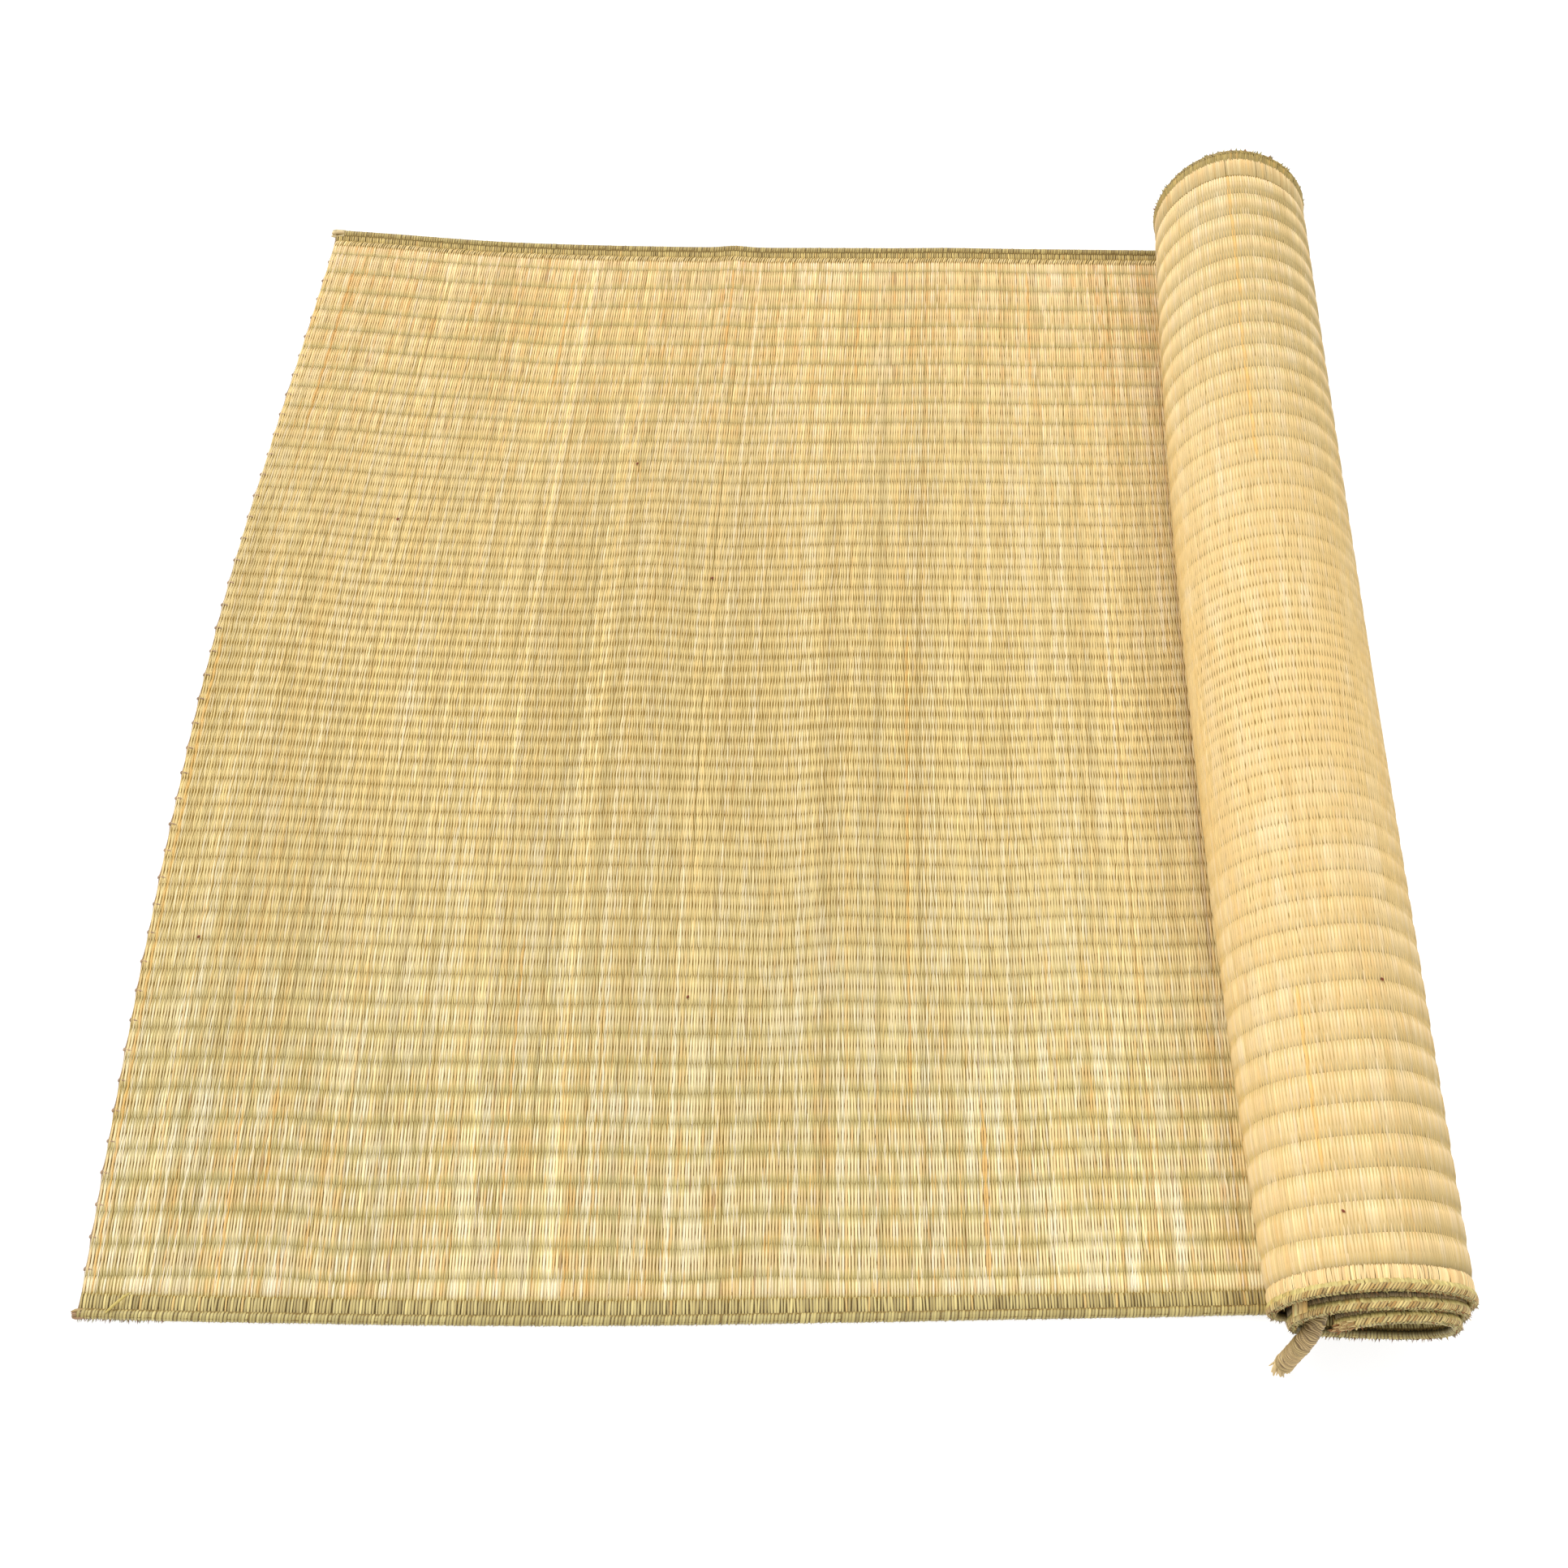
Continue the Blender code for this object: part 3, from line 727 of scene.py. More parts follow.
def sheet_look():
    """The ground below the raised stems: dark as painted shade where they cover it, and elsewhere the same
    brick of floats in colour and bump, its colours darkened as painted shade."""
    made, tree, shader = principled("woven_ground", 0.7)
    weave = node(tree, "ShaderNodeAttribute", attribute_name="weave").outputs["Vector"]
    axes = node(tree, "ShaderNodeSeparateXYZ", {0: weave})
    across, string, bare = axes.outputs
    heights = []
    for shift in (0.0, 0.5):
        stem = maths(tree, "FRACT", maths(tree, "ADD", across, shift))
        turn = maths(tree, "FRACT", maths(tree, "MULTIPLY_ADD", string, 0.5, shift))
        side = maths(tree, "ABSOLUTE", maths(tree, "SUBTRACT", stem, 0.5))
        end = maths(tree, "ABSOLUTE", maths(tree, "SUBTRACT", turn, 0.5))
        ridge = maths(tree, "MULTIPLY_ADD", side, -2.2, 1.0)
        heights.append(maths(tree, "MULTIPLY_ADD", maths(tree, "MULTIPLY", end, end), -3.0, ridge))
    height = maths(tree, "MAXIMUM", *heights)
    chance = node(tree, "ShaderNodeTexWhiteNoise", noise_dimensions="1D")
    tree.links.new(maths(tree, "FLOOR", maths(tree, "MULTIPLY", across, 2.0)), chance.inputs["W"])
    # Straw colours darkened as painted shade, for the bare sheet, which lies inside the roll, between its
    # turns or face down.
    straw = mixed(tree, chance.outputs["Value"], opaque(TAN * 0.30), opaque(CREAM * 0.35))
    woven = mixed(tree, ranged(tree, height, 0.0, 0.55), opaque(GROUND), straw)
    ground = mixed(tree, bare, opaque(GROUND), woven)
    off_middle = maths(tree, "ABSOLUTE", maths(tree, "SUBTRACT", string, STRING_SPACES / 2))
    in_hem = maths(tree, "GREATER_THAN", off_middle, STRING_SPACES / 2 + 0.5)
    ground = mixed(tree, in_hem, ground, opaque(HEM_GROUND))
    tree.links.new(ground, shader.inputs["Base Color"])
    bump = node(tree, "ShaderNodeBump", {"Height": height, "Strength": 0.8, "Distance": 0.0006})
    tree.links.new(bump.outputs[0], shader.inputs["Normal"])
    return made


def build_sheet(look):
    """The whole mat as one thin closed sheet, a little thinner than the solid, below its raised stems."""
    flat_count, roll_count, string_count = SHEET_POINTS
    flat = np.linspace(LEFT_START, FLAT_LENGTH, flat_count)
    s = np.concatenate([flat, np.linspace(FLAT_LENGTH, LENGTH, roll_count)[1:]])[:, None]
    strings = np.linspace(0, STRING_SPACES, string_count)
    distances, lifts, halves = np.transpose(SHEET_HEM)
    y = np.concatenate(
        [edge_y(s, -1, distances[None]), string_y(s, strings[None]), edge_y(s, 1, distances[None, ::-1])],
        axis=1,
    )
    flat_strings = 0 * strings
    half = np.concatenate([halves, flat_strings + THIN_HALF, halves[::-1]])[None] + 0 * y
    off = np.concatenate([lifts, flat_strings, lifts[::-1]])[None] * along("lift", s)
    turn = along("turn", s)
    under = np.where(turn < 0.05, np.maximum(half, SHEET_HALF), half)
    string_numbers = np.concatenate([0 * distances - 1, strings, 0 * distances + STRING_SPACES + 1])
    weave = stacked(s / PAIR_PITCH, string_numbers[None], 0.0)
    upper_weave = weave.copy()
    lower_weave = weave.copy()
    upper_weave[..., 2] = turn > BARE_UPPER_FROM
    lower_weave[..., 2] = (turn < BARE_LOWER_OUTSIDE[0]) | (turn > BARE_LOWER_OUTSIDE[1])
    loop = np.concatenate([place(s, y, off + half), place(s, y, off - under)[:, ::-1]], axis=1)
    loop_weave = np.concatenate([upper_weave, lower_weave[:, ::-1]], axis=1)
    rows, columns = loop.shape[:2]
    faces = [np.roll(tube_faces(1, rows, columns)[:, ::-1], 1, axis=1)]
    inner = np.arange(columns // 2 - 1)
    for row, flip in ((0, 1), (rows - 1, -1)):
        cap = [inner, inner + 1, columns - 2 - inner, columns - 1 - inner]
        faces.append(np.stack(cap[::flip], axis=1) + row * columns)
    layers = (("weave", loop_weave.reshape(-1, 3)),)
    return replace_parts(mesh_object("mat_sheet", loop.reshape(-1, 3), faces, look, layers), "mat")


def stem_facts(kind):
    """What each stem keeps along its whole length: its size, shade, chance tints and wandering."""
    random = default_rng(SEED + (kind == "far"))
    count = int(LENGTH / PAIR_PITCH) + 2
    return {
        "size": np.clip(random.normal(1.0, 0.09, count), 0.78, 1.25),
        "shade": random.normal(0.0, 1.0, count),
        "chance": random.random(count),
        "middle": random.random(count),
        "reach": random.uniform(0.05, 0.45, count),
        "drift": random.normal(0.0, 0.08, (count, DRIFT_PLACES)),
    }


STEMS = {kind: stem_facts(kind) for kind in ("near", "far")}


def patch_share(share):
    """How strong the patches are over the width of the flat stretch."""
    return 0.5 + 1.2 * (1 - steps(0.08, 0.35, share)) + 0.5 * steps(0.65, 0.90, share)


def blotched(tint, patches):
    """Tints with soft orange and white patches."""
    tint = mix(tint, ORANGE, 0.13 * np.clip(patches, 0, 4))
    return mix(tint, WHITE, 0.20 * np.clip(-patches, 0, 4))


def stem_tint(kind, pair, s, share, side, random):
    """Each float's colour: cream where its stem is thick, tan and olive where it is thin, with soft
    patches, stems of other colours by chance and the marked stems."""
    facts = STEMS[kind]
    thick = share if kind == "far" else 1 - share
    tint = mix(mix(OLIVE, TAN, steps(0.06, 0.36, thick)), CREAM, steps(0.50, 0.92, thick))
    tint = tint * (1 + 0.06 * steps(0.55, 0.85, share))[:, None]
    tone = 0.08 * facts["shade"][pair] + random.normal(0, 0.05, len(s))
    tone += 0.05 * streaks(s, share, *FINE_TONE) + 0.035 * streaks(s, share, *BROAD_TONE)
    tint = tint * np.exp(tone)[:, None]
    patches = streaks(s, share, *PATCHES)
    if side > 0:
        tint = blotched(tint, patches * patch_share(share))
        tint = tint * (1 + steps(0.50, 0.66, s) * np.interp(share, *ROLL_SIDE_GAIN))[:, None]
    chance = facts["chance"][pair]
    here = np.abs(share - facts["middle"][pair]) < facts["reach"][pair]
    loose = random.random(len(s))
    outer = 0.35 + 0.65 * np.abs(2 * share - 1)
    for colour, low, high, amount, rare in CHANCE_STEMS:
        picked = here & (chance >= low) & (chance < high)
        by_chance = (loose >= 0) & (loose < rare)
        tint = mix(tint, colour, outer * np.where(picked, amount, 0.6 * by_chance))
        loose = loose - rare
    if side < 0:
        tint = blotched(mix(tint, UNDERSIDE, UNDERSIDE_SHARE), ROLL_PATCHES * patches)
        # Painted shade on the roll's lower right, over its first quarter turn.
        tint = tint * (1 - 0.20 * (1 - steps(0.10, 0.30, along("turn", s))))[:, None]
    string = share * STRING_SPACES
    for colour, amount, stems in MARKED_STEMS:
        for place_s, low, high in stems:
            marked = (np.abs(s - place_s) < 0.5 * PAIR_PITCH) & (string > low) & (string < high)
            tint = mix(tint, linear(colour), amount * marked)
    if side < 0:
        return tint
    shares, *channels = np.transpose(ZONE_TINTS)
    return tint * np.stack([np.interp(share, shares, channel) for channel in channels], axis=1)


def band_share(s, share, thick, side):
    """How far a float fades to olive at each of its stations."""
    if side < 0:
        # Round the roll the olive bands are partly painted shade: they thin over its top and left, where the
        # light falls.
        right = 1.0 - (0.70 - 0.35 * steps(0.6, 0.9, share)) * steps(0.40, 0.72, along("turn", s))
        zone = np.interp(share, *ROLL_BAND_ZONES)
        return ROLL_BAND * (right * zone)[:, None]
    ends = (0.35 + 0.50 * (1 - steps(0.15, 0.45, share))) * steps(0.4, 0.9, thick)
    middle = 1 - steps(0.15, 0.40, np.abs(share - 0.5))
    olive = np.abs(STEM_STATIONS) ** 2 * ends[:, None]
    olive = olive + FAR_BAND * steps(0.5, 0.95, share)[:, None]
    return olive + MIDDLE_BAND * middle[:, None]


def float_block(kind, pairs, strings, side, random):
    """The floats of one kind of stem on one face. A float rises from under one string, passes over the
    next, and dips under the one after it."""
    pair, string = (grid.ravel() for grid in np.meshgrid(pairs, strings, indexing="ij"))
    facts = STEMS[kind]
    share = string / STRING_SPACES
    thick = share if kind == "far" else 1 - share
    drift = facts["drift"][pair, (share * (DRIFT_PLACES - 1)).astype(int)]
    offset = 0.5 if kind == "near" else 0.0
    s = (pair + offset + 0.5 * drift + random.normal(0.0, 0.03, len(pair))) * PAIR_PITCH
    size = facts["size"][pair] * random.normal(1.0, 0.07, len(pair))
    middle, neck, top, end, drop = (
        np.interp(thick, THICKNESS[:, 0], THICKNESS[:, column]) for column in range(1, 6)
    )
    if side > 0:
        size = size * (1 + steps(0.48, 0.62, s) * np.interp(share, *ROLL_SIDE_FILL))
        gap_depth = np.interp(share, *GAP_DEPTH)
    else:
        size = ROLL_SIZE + ROLL_VARIETY * (size - 1)
        neck = neck + ROLL_NECK
        gap_depth = ROLL_GAP_DEPTH + 0 * share
    reach = STEM_STATIONS[None]
    roundness = 1.4 + 0.8 * np.abs(2 * share - 1)
    bell = 1 - np.abs(reach) ** roundness[:, None]
    half = (neck[:, None] + (middle - neck)[:, None] * bell) * size[:, None] * PAIR_PITCH
    off = end[:, None] + (top - end)[:, None] * bell
    low = np.maximum(string - 1, 0)[:, None]
    high = np.minimum(string + 1, STRING_SPACES)[:, None]
    at = low + (high - low) * (reach + 1) / 2
    sway = random.normal(0.0, 0.05, (len(s), 1)) * reach * PAIR_PITCH
    grid_s = s[:, None] + sway
    wander = 0.09 * streaks(grid_s, at / STRING_SPACES, *WANDER)
    inside = steps(0, 1.5, at) * steps(0, 1.5, STRING_SPACES - at)
    y = string_y(grid_s, at + wander * inside)
    tint = stem_tint(kind, pair, s, share, side, random)[:, None]
    olive = np.clip(band_share(s, share, thick, side), 0, 0.9)
    if side > 0:
        # Painted shade on the upper face inside the roll, then the fade to olive.
        tint = mix(tint * (1 - INSIDE_SHADE * share_inside(s))[:, None, None], OLIVE, olive)
    else:
        tint = mix(tint, BAND, olive) * SEAM_SHADE[:, None]
    phase = FAR_PHASE if kind == "far" else 0.0
    return strips(grid_s, y, off, half, drop[:, None, None], side, tint, phase, gap_depth[:, None, None])


def share_inside(s):
    """How far a place s is inside the roll, where little light comes."""
    return steps(0.15, 0.40, along("turn", s))


def floats(pairs, strings, side, seed):
    """Both kinds of floats. On the lower face a stem shows where the upper face hides it."""
    random = default_rng(seed)
    blocks = []
    for kind, parity in (("near", 0), ("far", 1)):
        seen = parity if side > 0 else 1 - parity
        own = np.array([string for string in strings if string % 2 == seen], float)
        blocks.append(float_block(kind, np.array(pairs), own, side, random))
    return blocks


def build_weave(look):
    """The raised stems, in pieces: the flat stretch in three, the roll's outer face, and the parts of the
    inner turns near both hems."""
    every_string = range(STRING_SPACES + 1)
    flat_pairs = range(-1, int(FLAT_WEAVE_END / PAIR_PITCH))
    third = len(flat_pairs) // 3 + 1
    made = []
    for index, name in enumerate(("left", "middle", "right")):
        pairs = flat_pairs[index * third : (index + 1) * third]
        blocks = floats(pairs, every_string, 1, SEED + 20 + index)
        made.append(joined_strips(f"weave_flat_{name}", blocks, look))
    first, last = (int(at_turn(turn) / PAIR_PITCH) for turn in OUTER_TURNS)
    made.append(joined_strips("weave_roll", floats(range(first, last), every_string, -1, SEED + 30), look))
    inner = int(LENGTH / PAIR_PITCH)
    for name, strings in INSIDE_STRINGS:
        blocks = floats(range(first, inner), strings, 1, SEED + 40)
        blocks += floats(range(last, inner), strings, -1, SEED + 41)
        made.append(joined_strips(f"weave_inside_{name}", blocks, look))
    return made


def hem_row(hem, side, low, high, row, random, darkest=HEM_SHADE):
    """One row of short floats across a hem, between two places s. darkest is how much painted shade darkens
    the row between the turns."""
    colours, lean, pitch, *stations = row
    distances, heights, widths, fade = (np.array(values)[None] for values in stations)
    s = np.arange(low + pitch / 2, high, pitch)
    s = s + random.normal(0, 0.09, len(s)) * pitch
    lean = lean + random.normal(0, 0.00012, (len(s), 1))
    grid_s = s[:, None] + lean * np.linspace(-1, 1, distances.size)[None]
    size = np.clip(random.normal(1.0, 0.12, len(s)), 0.7, 1.3)[:, None]
    tint = chance_tints(linear(colours), 0.08, len(s), random)
    tint = mix(tint, ORANGE, 0.35 * (random.random(len(s)) < 0.04))
    tint = mix(tint[:, None], BAND, fade)
    # Painted shade: inside the roll on the upper face, and between the turns on the lower face.
    turn = along("turn", s)[:, None]
    if side > 0:
        start = 0.70 - 0.65 * steps(1.5, 1.9, turn)
        shadow = share_inside(s)[:, None] * (start + (darkest - start) * steps(0.006, 0.015, distances))
    else:
        shadow = darkest * steps(0.0045, 0.0085, distances) * (turn > BARE_LOWER_OUTSIDE[1])
    tint = tint * (1 - shadow)[..., None]
    lift = along("lift", grid_s) * np.interp(distances, (0.0045, 0.0075), (1.0, 0.0))
    deeper = (FAR_ROLL_HEM - 1) * steps(*ROLL_BLEND, along("turn", grid_s)) * (hem > 0 > side)
    inwards = distances + deeper * np.maximum(distances - CORD_DEPTH, 0)
    y = edge_y(grid_s, hem, inwards + random.normal(0, 0.0002, (len(s), 1)))
    gap_depth = 1.0 if side > 0 else 0.45
    return strips(grid_s, y, lift * side + heights, widths * size * pitch, 0.0006, side, tint, 0.0, gap_depth)


def wrap_row(hem, side, low, high, wrap, random):
    """The stems' ends wrapped round a hem's core, between two places s."""
    colours, lean, pitch, radius, degrees = wrap
    angle = np.radians(np.array(degrees, float))[None]
    reach = np.linspace(-1, 1, angle.size)[None]
    s = np.arange(low + pitch / 2, high, pitch)
    s = s + random.normal(0, 0.10, len(s)) * pitch
    size = np.clip(random.normal(1.12, 0.10, len(s)), 0.9, 1.3)[:, None]
    half = 0.5 * pitch * size * (1 - 0.15 * reach**4)
    grid_s = (s[:, None] + lean * reach)[..., None] + half[..., None] * ACROSS
    bulge = radius * (1 + random.normal(0, 0.035, len(s)))[:, None, None] - 0.0004 * np.abs(ACROSS)
    points = core_place(grid_s, hem, bulge, angle[..., None])
    tint = chance_tints(linear(colours), 0.09, len(s), random)
    tint = tint[:, None] + 0 * angle[..., None]
    # Painted shade, inside the roll, on the wraps' side towards the middle of the mat.
    if side > 0:
        hidden = share_inside(s)[:, None] * (1 - steps(math.radians(60), math.radians(150), angle))
        tint = tint * (1 - 0.90 * hidden)[..., None]
    flip = side if hem < 0 else -side
    return strip_block(points, grid_s, radius * angle + 0 * s[:, None], -flip, tint, 11.0)


def build_fringe(hem, name, look, random):
    """The cut stem ends that stand out from a hem's outer edge, as three-sided spikes."""
    s = np.arange(LEFT_START, LENGTH, FRINGE_PITCH)
    s = s + random.uniform(-0.5, 0.5, len(s)) * FRINGE_PITCH
    turn = along("turn", s)
    angle = np.radians(random.uniform(165, 232, len(s)))
    angle = np.where(turn < 0.05, np.radians(random.uniform(188, 225, len(s))), angle)
    length = random.uniform(0.0008, 0.0028, len(s))
    flat_share = 0.45 if hem > 0 else np.where(s < 0.05, 1.1, 0.40)
    length = length * np.where(turn < 0.05, flat_share, 1.0 if hem < 0 else 1.15)
    half = random.uniform(0.0003, 0.0006, len(s)) * np.where((turn > 0.05) & (hem > 0), 2.0, 1.0)
    lean = random.normal(-0.0006, 0.0006, len(s))
    inner = 0.0027
    corners = (
        (s - half, inner, angle),
        (s + half, inner, angle),
        (s, inner, angle + half / inner * 1.6),
        (s + lean, inner + length, angle + 0.1),
    )
    points = np.stack([core_place(at, hem, radius, turned) for at, radius, turned in corners], axis=1)
    base = (np.arange(len(s)) * 4)[:, None, None]
    faces = (np.array(((0, 1, 3), (1, 2, 3), (2, 0, 3)))[None] + base).reshape(-1, 3)
    # The spikes' brown, dark olive and tan are partly their own colour and partly painted shade below the
    # hem.
    chance = random.random(len(s))[:, None]
    brown_part = 0.3 if hem > 0 else 0.4
    tint = np.where(chance < brown_part, BROWN * 1.1, np.where(chance < 0.8, OLIVE * 0.7, TAN * 0.8))
    tint = tint * np.exp(random.normal(0, 0.2, len(s)))[:, None]
    tints = np.repeat(tint[:, None], 4, axis=1)
    # Painted shade at the spikes' roots, below the hem.
    tints[:, :3] *= 0.7
    weave = np.full(points.shape, STALK_GAP)
    weave[..., 0] = (s / PAIR_PITCH)[:, None]
    points, layers = joined_layers([{"points": points, "tint": tints, "weave": weave}])
    return mesh_object(f"fringe_{name}", points, [faces], look, layers)


def build_hem(hem, name, look, seed):
    """A hem: on the upper face rows of olive floats up to the wrapped core, and on the lower face, which
    shows round the roll, a cream row, an olive row and slanting stitches."""
    random = default_rng(seed)
    blocks = []
    for side, start in ((1, LEFT_START), (-1, at_turn(ROLL_HEM_TURN))):
        blocks += [hem_row(hem, side, start, LENGTH, row, random) for row in HEM_ROWS[name, side]]
        wrap_start = max(start, WRAP_STARTS[name])
        blocks.append(wrap_row(hem, side, wrap_start, LENGTH, HEM_WRAPS[name, side], random))
    return [joined_strips(f"hem_{name}", blocks, look), build_fringe(hem, name, look, random)]


def build_leaf(look):
    """A smooth dry leaf caught between the outer turns, near the near hem."""
    random = default_rng(SEED + 52)
    low, high = (at_turn(turn) for turn in LEAF_TURNS)
    row = hem_row(-1, -1, low, high, LEAF_ROW, random, LEAF_SHADE)
    return joined_strips("caught_leaf", [row], look)


def build_edge_string(look):
    """The string along the left edge, knotted beside each second string of the weave."""
    random = default_rng(SEED + 53)
    strings = 1.3 + 2 * np.arange(EDGE_KNOTS)
    y = np.concatenate(
        [[edge_y(LEFT_START, -1, 0.004)], string_y(LEFT_START, strings), [edge_y(LEFT_START, 1, 0.004)]]
    )
    out = np.full(len(y), EDGE_STRING_AWAY) + random.normal(0, 0.0002, len(y))
    points = place(LEFT_START, y, 0.0) - np.stack([out, 0 * y, 0 * y], axis=1)
    towards = np.zeros((len(points) - 1, 3))
    towards[:, 0] = 0.0007
    twine = np.tile(TWINE, (len(points), 1)) * np.exp(random.normal(0, 0.12, (len(points), 1)))
    half = np.full(len(points) - 1, EDGE_STRING_HALF)
    string = stalks(points[:-1], points[1:], towards, half, twine[1:], (1,) * 5)
    knots = points[1:-1]
    reach = np.tile((0.0, 0.0013, 0.0), (len(knots), 1))
    reach[:, 0] = random.normal(0, 0.0004, len(knots))
    thick = random.uniform(0.0010, 0.0014, len(knots))
    dark = twine[1:-1] * 0.85
    lumps = stalks(knots - reach, knots + reach, 0 * knots, thick, dark, (0.3, 0.9, 1, 0.9, 0.3), 6)
    inward = knots + np.array((0.0052, -0.0014, 0.0009))
    bend = 0 * knots + (0, 0, 0.0012)
    tails = stalks(knots, inward, bend, 0 * thick + 0.00045, twine[1:-1], (1, 1, 1, 0.5))
    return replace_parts(joined_stalks("knotted_string", [string, lumps, tails], look), "edge_string")


def bundle(root, ahead, length, spread, radius, count, tints, profile, random):
    """Stems side by side from a root, turned a little about the way ahead and cut to uneven lengths."""
    ahead = np.asarray(ahead, float) / np.linalg.norm(ahead)
    across = np.cross(ahead, (0.0, 1.0, 0.0) if abs(ahead[2]) > 0.7 else (0.0, 0.0, 1.0))
    across /= np.linalg.norm(across)
    up = np.cross(across, ahead)
    angle = np.arange(count) * GOLDEN_ANGLE
    out = np.sqrt((np.arange(count) + 0.5) / count)
    start = out * spread[0]
    end = out * spread[1] * random.uniform(0.7, 1.2, count)
    lengths = random.uniform(*length, count)
    late = angle + BUNDLE_TURN
    roots = root + across * (start * np.cos(angle))[:, None] + up * (start * np.sin(angle))[:, None]
    tips = root + across * (end * np.cos(late))[:, None] + up * (end * np.sin(late))[:, None]
    tips = tips + ahead * lengths[:, None]
    tips[:, 2] = np.maximum(tips[:, 2], LOWEST + 0.0003)
    bend = random.normal(0, 0.0004, (count, 3)) + (tips - roots - ahead * lengths[:, None]) * -0.12
    tint = chance_tints(tints, 0.18, count, random)
    return stalks(roots, tips, bend, random.uniform(*radius, count), tint, profile)


def build_knobs(look):
    """The cores' ends, which stand out at the left corners: one a spiky bundle, one a rounder knob."""
    made = []
    for hem, name, place_s, colours, profile, lengths, radii, spread in KNOBS:
        random = default_rng(SEED + 54 + hem)
        root = core_place(place_s, hem, 0.0, 0.0)
        ahead = (-1.0, 0.08 * hem, 0.0)
        tints = linear(colours)
        block = bundle(root, ahead, lengths, spread, radii, KNOB_STEMS, tints, profile, random)
        knob = joined_stalks(f"core_end_{name}", [block], look)
        made.append(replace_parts(knob, f"hem_cord_{name}"))
    return made


def build_flecks(look):
    """Small dark husks that lie on the stems."""
    s, string = np.transpose(HUSKS)
    y = string_y(s, string)
    off = np.where(s < FLAT_LENGTH, 0.0024, -0.0024)
    roots = place(s - 0.0008, y - 0.0008, off)
    tips = place(s + 0.0008, y + 0.0010, off)
    tint = np.tile(RUST, (len(s), 1))
    husks = stalks(roots, tips, 0 * roots, np.full(len(s), 0.0008), tint, (0.3, 1, 1, 0.3))
    return joined_stalks("husks", [husks], look)


def build_loose_ends(look):
    """One stem that lies loose across the near hem, and the torn stem ends at the roll's inner corner."""
    random = default_rng(SEED + 57)
    root = core_place(0.0150, -1, 0.0037, math.radians(95))[None]
    tip = place(0.0275, edge_y(0.0275, -1, 0.0163), 0.0036)[None]
    yellow = linear((190, 170, 92))[None]
    loose = stalks(root, tip, np.array([(0, 0, 0.0010)]), np.array([0.0009]), yellow, (0.4, 1, 1, 0.9, 0.2))
    s = LENGTH - random.uniform(0.0, 0.012, TORN_ENDS)
    roots = core_place(s, -1, 0.0024, np.radians(random.uniform(120, 300, TORN_ENDS)))
    limits = ((-0.0062, -0.0005), (-0.0022, 0.0000), (-0.0018, 0.0018))
    reach = np.stack([random.uniform(*limit, TORN_ENDS) for limit in limits], axis=1)
    tint = mix(BROWN, TAN * 0.85, random.random(TORN_ENDS))
    radius = random.uniform(0.0004, 0.0007, TORN_ENDS)
    torn = stalks(roots, roots + reach, reach * 0.1, radius, tint, (1, 1, 0.8, 0.15))
    return [
        joined_stalks("loose_stem", [loose], look),
        joined_stalks("torn_ends", [torn], look),
    ]


def tie_curve(count):
    """Points, evenly spaced, on the smooth curve through the tie's route, and its length."""
    rows = [(index, *point) for index, point in enumerate(TIE_ROUTE)]
    fine = np.linspace(0, len(rows) - 1, 600)
    points = np.stack([curve(rows, axis, fine) for axis in (1, 2, 3)], axis=1) - MIDDLE
    travelled = np.concatenate([[0.0], np.cumsum(np.linalg.norm(np.diff(points, axis=0), axis=1))])
    places = np.linspace(0, travelled[-1], count)
    even = [np.interp(places, travelled, points[:, axis]) for axis in range(3)]
    return np.stack(even, axis=1), float(travelled[-1])


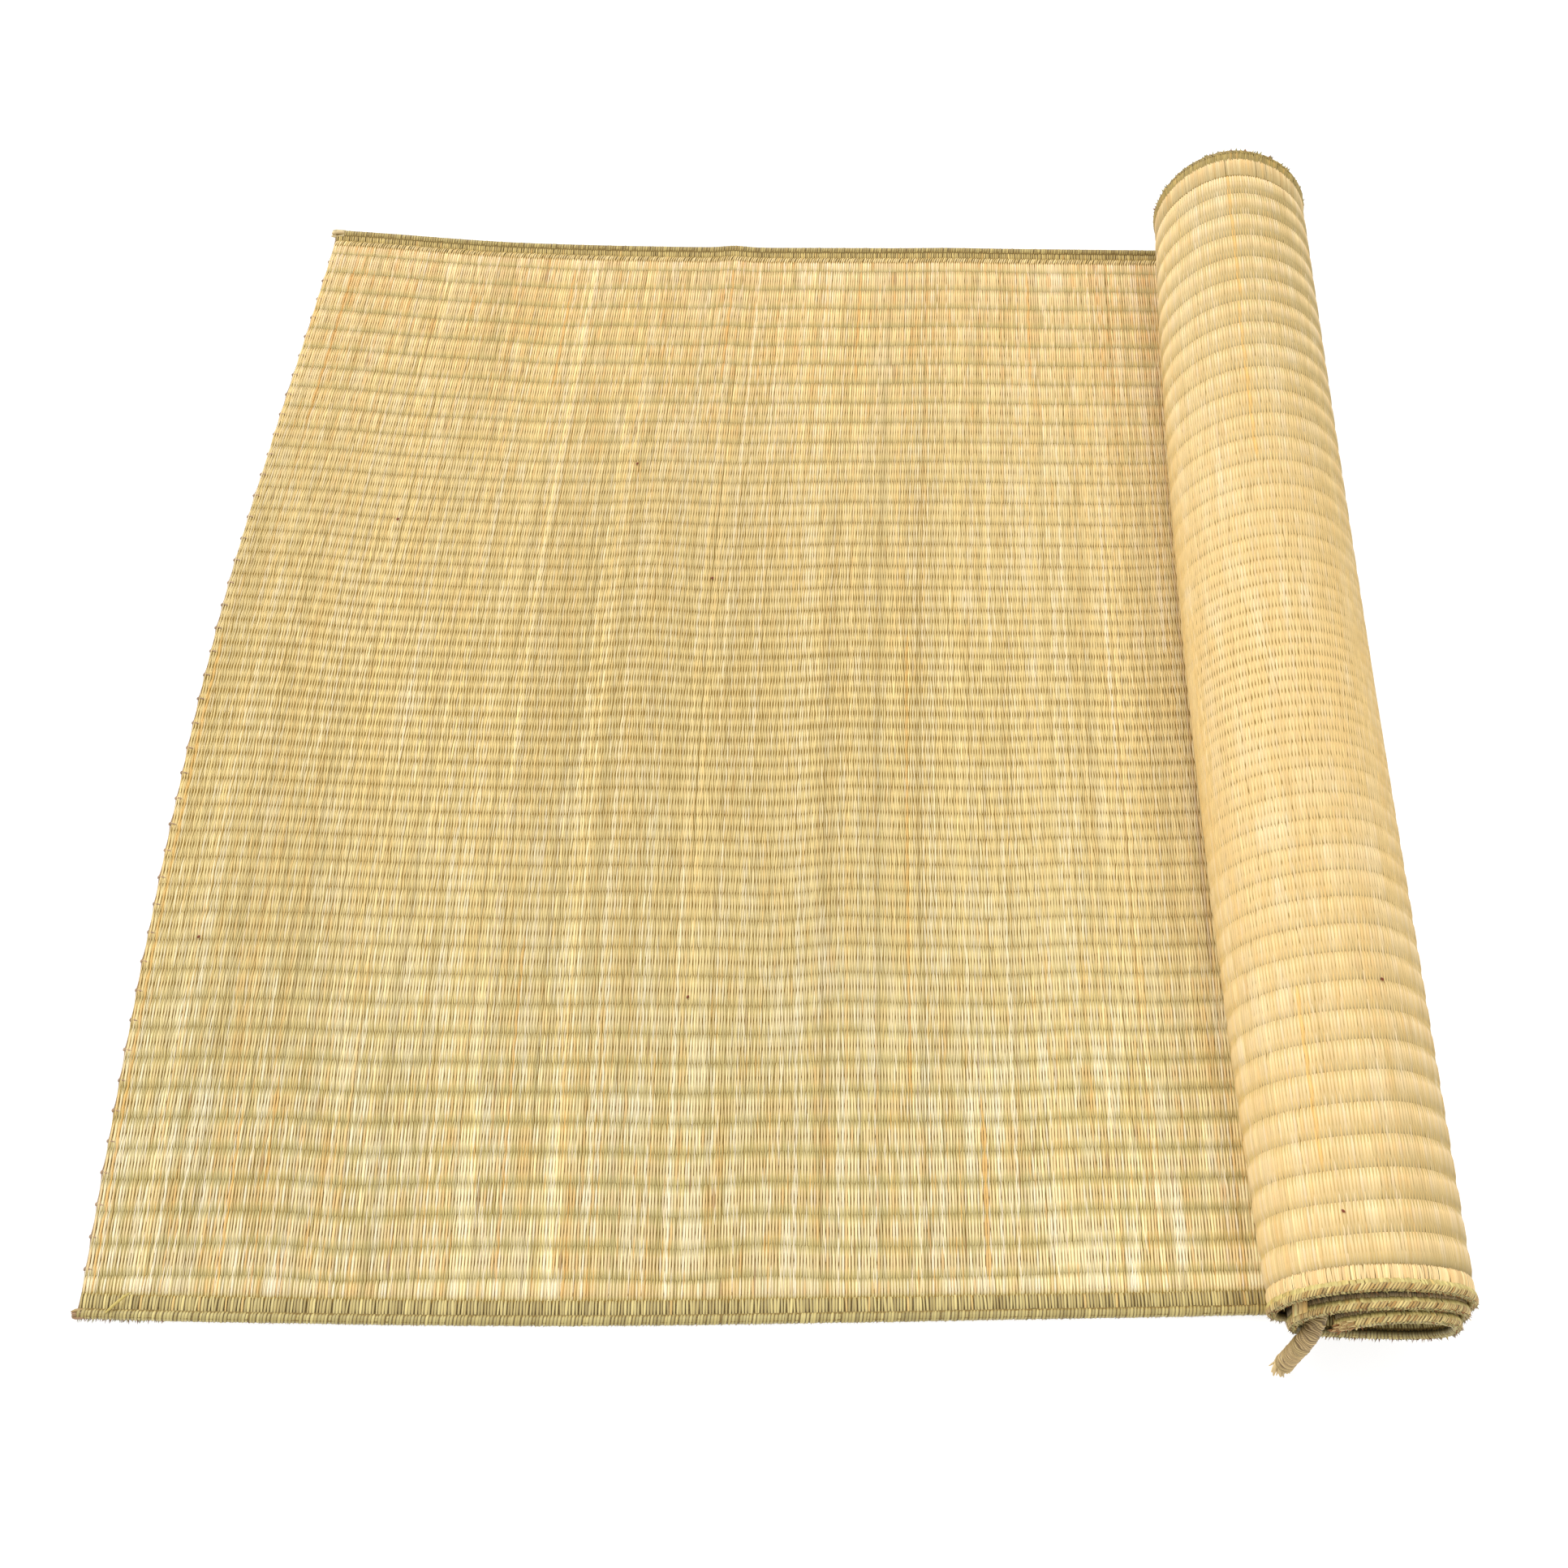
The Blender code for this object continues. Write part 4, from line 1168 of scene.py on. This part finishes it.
def build_tie(look):
    """The tie's rope: a core wrapped in strands of fibre, each turn an uneven ridge, with a frayed end."""
    line, length = tie_curve(TIE_RINGS)
    ahead = np.gradient(line, axis=0)
    ahead /= np.linalg.norm(ahead, axis=1)[:, None]
    across = np.cross(ahead, (1.0, 0.0, 0.0))
    across /= np.linalg.norm(across, axis=1)[:, None]
    up = np.cross(across, ahead)
    angle = np.linspace(0, 1, TIE_SIDES, endpoint=False)[None]
    distance = np.linspace(0, length, TIE_RINGS)[:, None]
    random = default_rng(SEED + 60)
    wobble = np.interp(distance, np.linspace(0, length, TIE_WOBBLES), random.normal(0, 0.22, TIE_WOBBLES))
    waves = 0.14 * np.sin(2 * math.pi * (angle * 2 + distance * 90))
    waves = waves + 0.09 * np.sin(2 * math.pi * (angle * 3 - distance * 170))
    turns = distance / TIE_PITCH + angle + wobble + waves
    wraps = np.floor(turns).astype(int) - int(np.floor(turns).min())
    phase = turns % 1.0
    chance = random.random(wraps.max() + 1)
    ridge = np.sin(math.pi * phase) ** 0.55
    strands = 0.5 - 0.5 * np.cos(2 * math.pi * 3 * phase)
    strand = wraps * 3 + np.floor(phase * 3).astype(int)
    strand_chance = random.random(strand.max() + 1)[strand]
    radius = TIE_HALF - 0.0010 + 0.0006 * ridge * (0.6 + 0.8 * chance[wraps]) + 0.0004 * strands
    end = np.clip((length - distance) / 0.002, 0, 1)
    radius = radius * (0.75 + 0.25 * np.sqrt(end))
    turned = 2 * math.pi * angle[..., None]
    out = across[:, None] * np.sin(turned) + up[:, None] * np.cos(turned)
    points = line[:, None] + out * radius[..., None]
    tint = mix(BEIGE, OLIVE, 0.3 * chance[wraps]) * np.exp(0.45 * (strand_chance - 0.5))[..., None]
    # Painted shade in the creases between strands, here and through the fibre material's gap colour.
    tint = mix(tint, BROWN, 0.35 * (1 - strands))
    weave = stacked(phase * 4 + wraps, angle * 6, 1 - ridge * strands)
    points, layers = joined_layers([{"points": points, "tint": tint, "weave": weave}])
    rope = mesh_object("tie_wrapping", points, [tube_faces(1, TIE_RINGS, TIE_SIDES)], look, layers)
    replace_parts(rope, "tie_rope")
    tints = (BEIGE * 0.9, linear((222, 196, 142)))
    frayed = [
        bundle(line[-1] - ahead[-1] * back, ahead[-1], lengths, spread, radii, stems, tints, profile, random)
        for back, lengths, spread, radii, stems, profile in TIE_FRAY
    ]
    tip = joined_stalks("tie_fray", frayed, look)
    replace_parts(tip, "tie_rope_tip")
    return rope, tip, line, length


def add_camera():
    """The camera of the photograph."""
    level = math.cos(CAMERA_PITCH)
    ahead = Vector((math.sin(CAMERA_YAW) * level, math.cos(CAMERA_YAW) * level, -math.sin(CAMERA_PITCH)))
    right = Vector((math.cos(CAMERA_YAW), -math.sin(CAMERA_YAW), 0.0))
    up = right.cross(ahead)
    rolled_right = right * math.cos(CAMERA_ROLL) + up * math.sin(CAMERA_ROLL)
    rolled_up = up * math.cos(CAMERA_ROLL) - right * math.sin(CAMERA_ROLL)
    matrix = Matrix((rolled_right, rolled_up, -ahead)).transposed().to_4x4()
    matrix.translation = Vector(CAMERA_PLACE - MIDDLE)
    camera = bpy.data.cameras.new("camera")
    camera.sensor_width = SENSOR_MM
    camera.lens = FOCAL_PIXELS / IMAGE_PIXELS * SENSOR_MM
    camera.clip_start = 0.02
    holder = added("camera", camera)
    holder.matrix_world = matrix
    bpy.context.scene.camera = holder


def add_studio():
    """A plain white floor and soft white light, a little stronger from behind on the left."""
    size = 12.0
    corners = ((-size, -size, 0), (size, -size, 0), (size, size, 0), (-size, size, 0))
    mesh = bpy.data.meshes.new("floor")
    mesh.from_pydata(corners, [], [(0, 1, 2, 3)])
    look, _tree, shader = principled("floor", 0.9)
    shader.inputs["Base Color"].default_value = (0.30, 0.30, 0.30, 1.0)
    shader.inputs["Specular IOR Level"].default_value = 0.0
    shader.inputs["Emission Color"].default_value = (1.0, 1.0, 1.0, 1.0)
    shader.inputs["Emission Strength"].default_value = FLOOR_GLOW
    mesh.materials.append(look)
    added("floor", mesh)
    world = bpy.data.worlds.new("studio")
    world.use_nodes = True
    background = world.node_tree.nodes["Background"]
    background.inputs["Color"].default_value = (1.0, 1.0, 1.0, 1.0)
    background.inputs["Strength"].default_value = SKY_STRENGTH
    bpy.context.scene.world = world
    for name, strength, angle, direction in LAMPS:
        lamp = bpy.data.lights.new(name, "SUN")
        lamp.energy = strength
        lamp.angle = math.radians(angle)
        holder = added(name, lamp)
        holder.rotation_euler = Vector(direction).to_track_quat("-Z", "Y").to_euler()
    bpy.context.scene.view_settings.view_transform = "Standard"


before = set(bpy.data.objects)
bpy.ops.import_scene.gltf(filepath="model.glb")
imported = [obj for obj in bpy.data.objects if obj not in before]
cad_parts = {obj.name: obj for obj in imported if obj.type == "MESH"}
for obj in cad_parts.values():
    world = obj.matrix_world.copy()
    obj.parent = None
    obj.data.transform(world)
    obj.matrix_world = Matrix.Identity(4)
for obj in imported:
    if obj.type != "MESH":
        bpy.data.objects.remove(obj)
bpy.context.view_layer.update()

add_camera()
add_studio()
grass = stem_look("grass_stems", (114, 82, 28), gap_from=0.42, gap_depth=0.92, grain=0.10, painted_highlight=0.60)
hem_grass = stem_look("hem_grass", (78, 54, 20), gap_from=0.38, gap_depth=0.88, grain=0.10, painted_highlight=0.20)
twine = stem_look("twine", (110, 84, 60), gap_from=0.90, gap_depth=0.50, grain=0.20, painted_highlight=0.0)
fibre = stem_look("tie_fibre", (96, 74, 44), gap_from=0.35, gap_depth=0.78, grain=0.28, painted_highlight=0.0)
sheet = build_sheet(sheet_look())
pieces = build_weave(grass)
pieces += build_hem(-1, "near", hem_grass, SEED + 50)
pieces += build_hem(1, "far", hem_grass, SEED + 51)
pieces += [build_leaf(grass), build_flecks(grass)]
pieces += build_loose_ends(grass)
build_edge_string(twine)
build_knobs(hem_grass)
tie, tie_tip, tie_line, tie_length = build_tie(fibre)
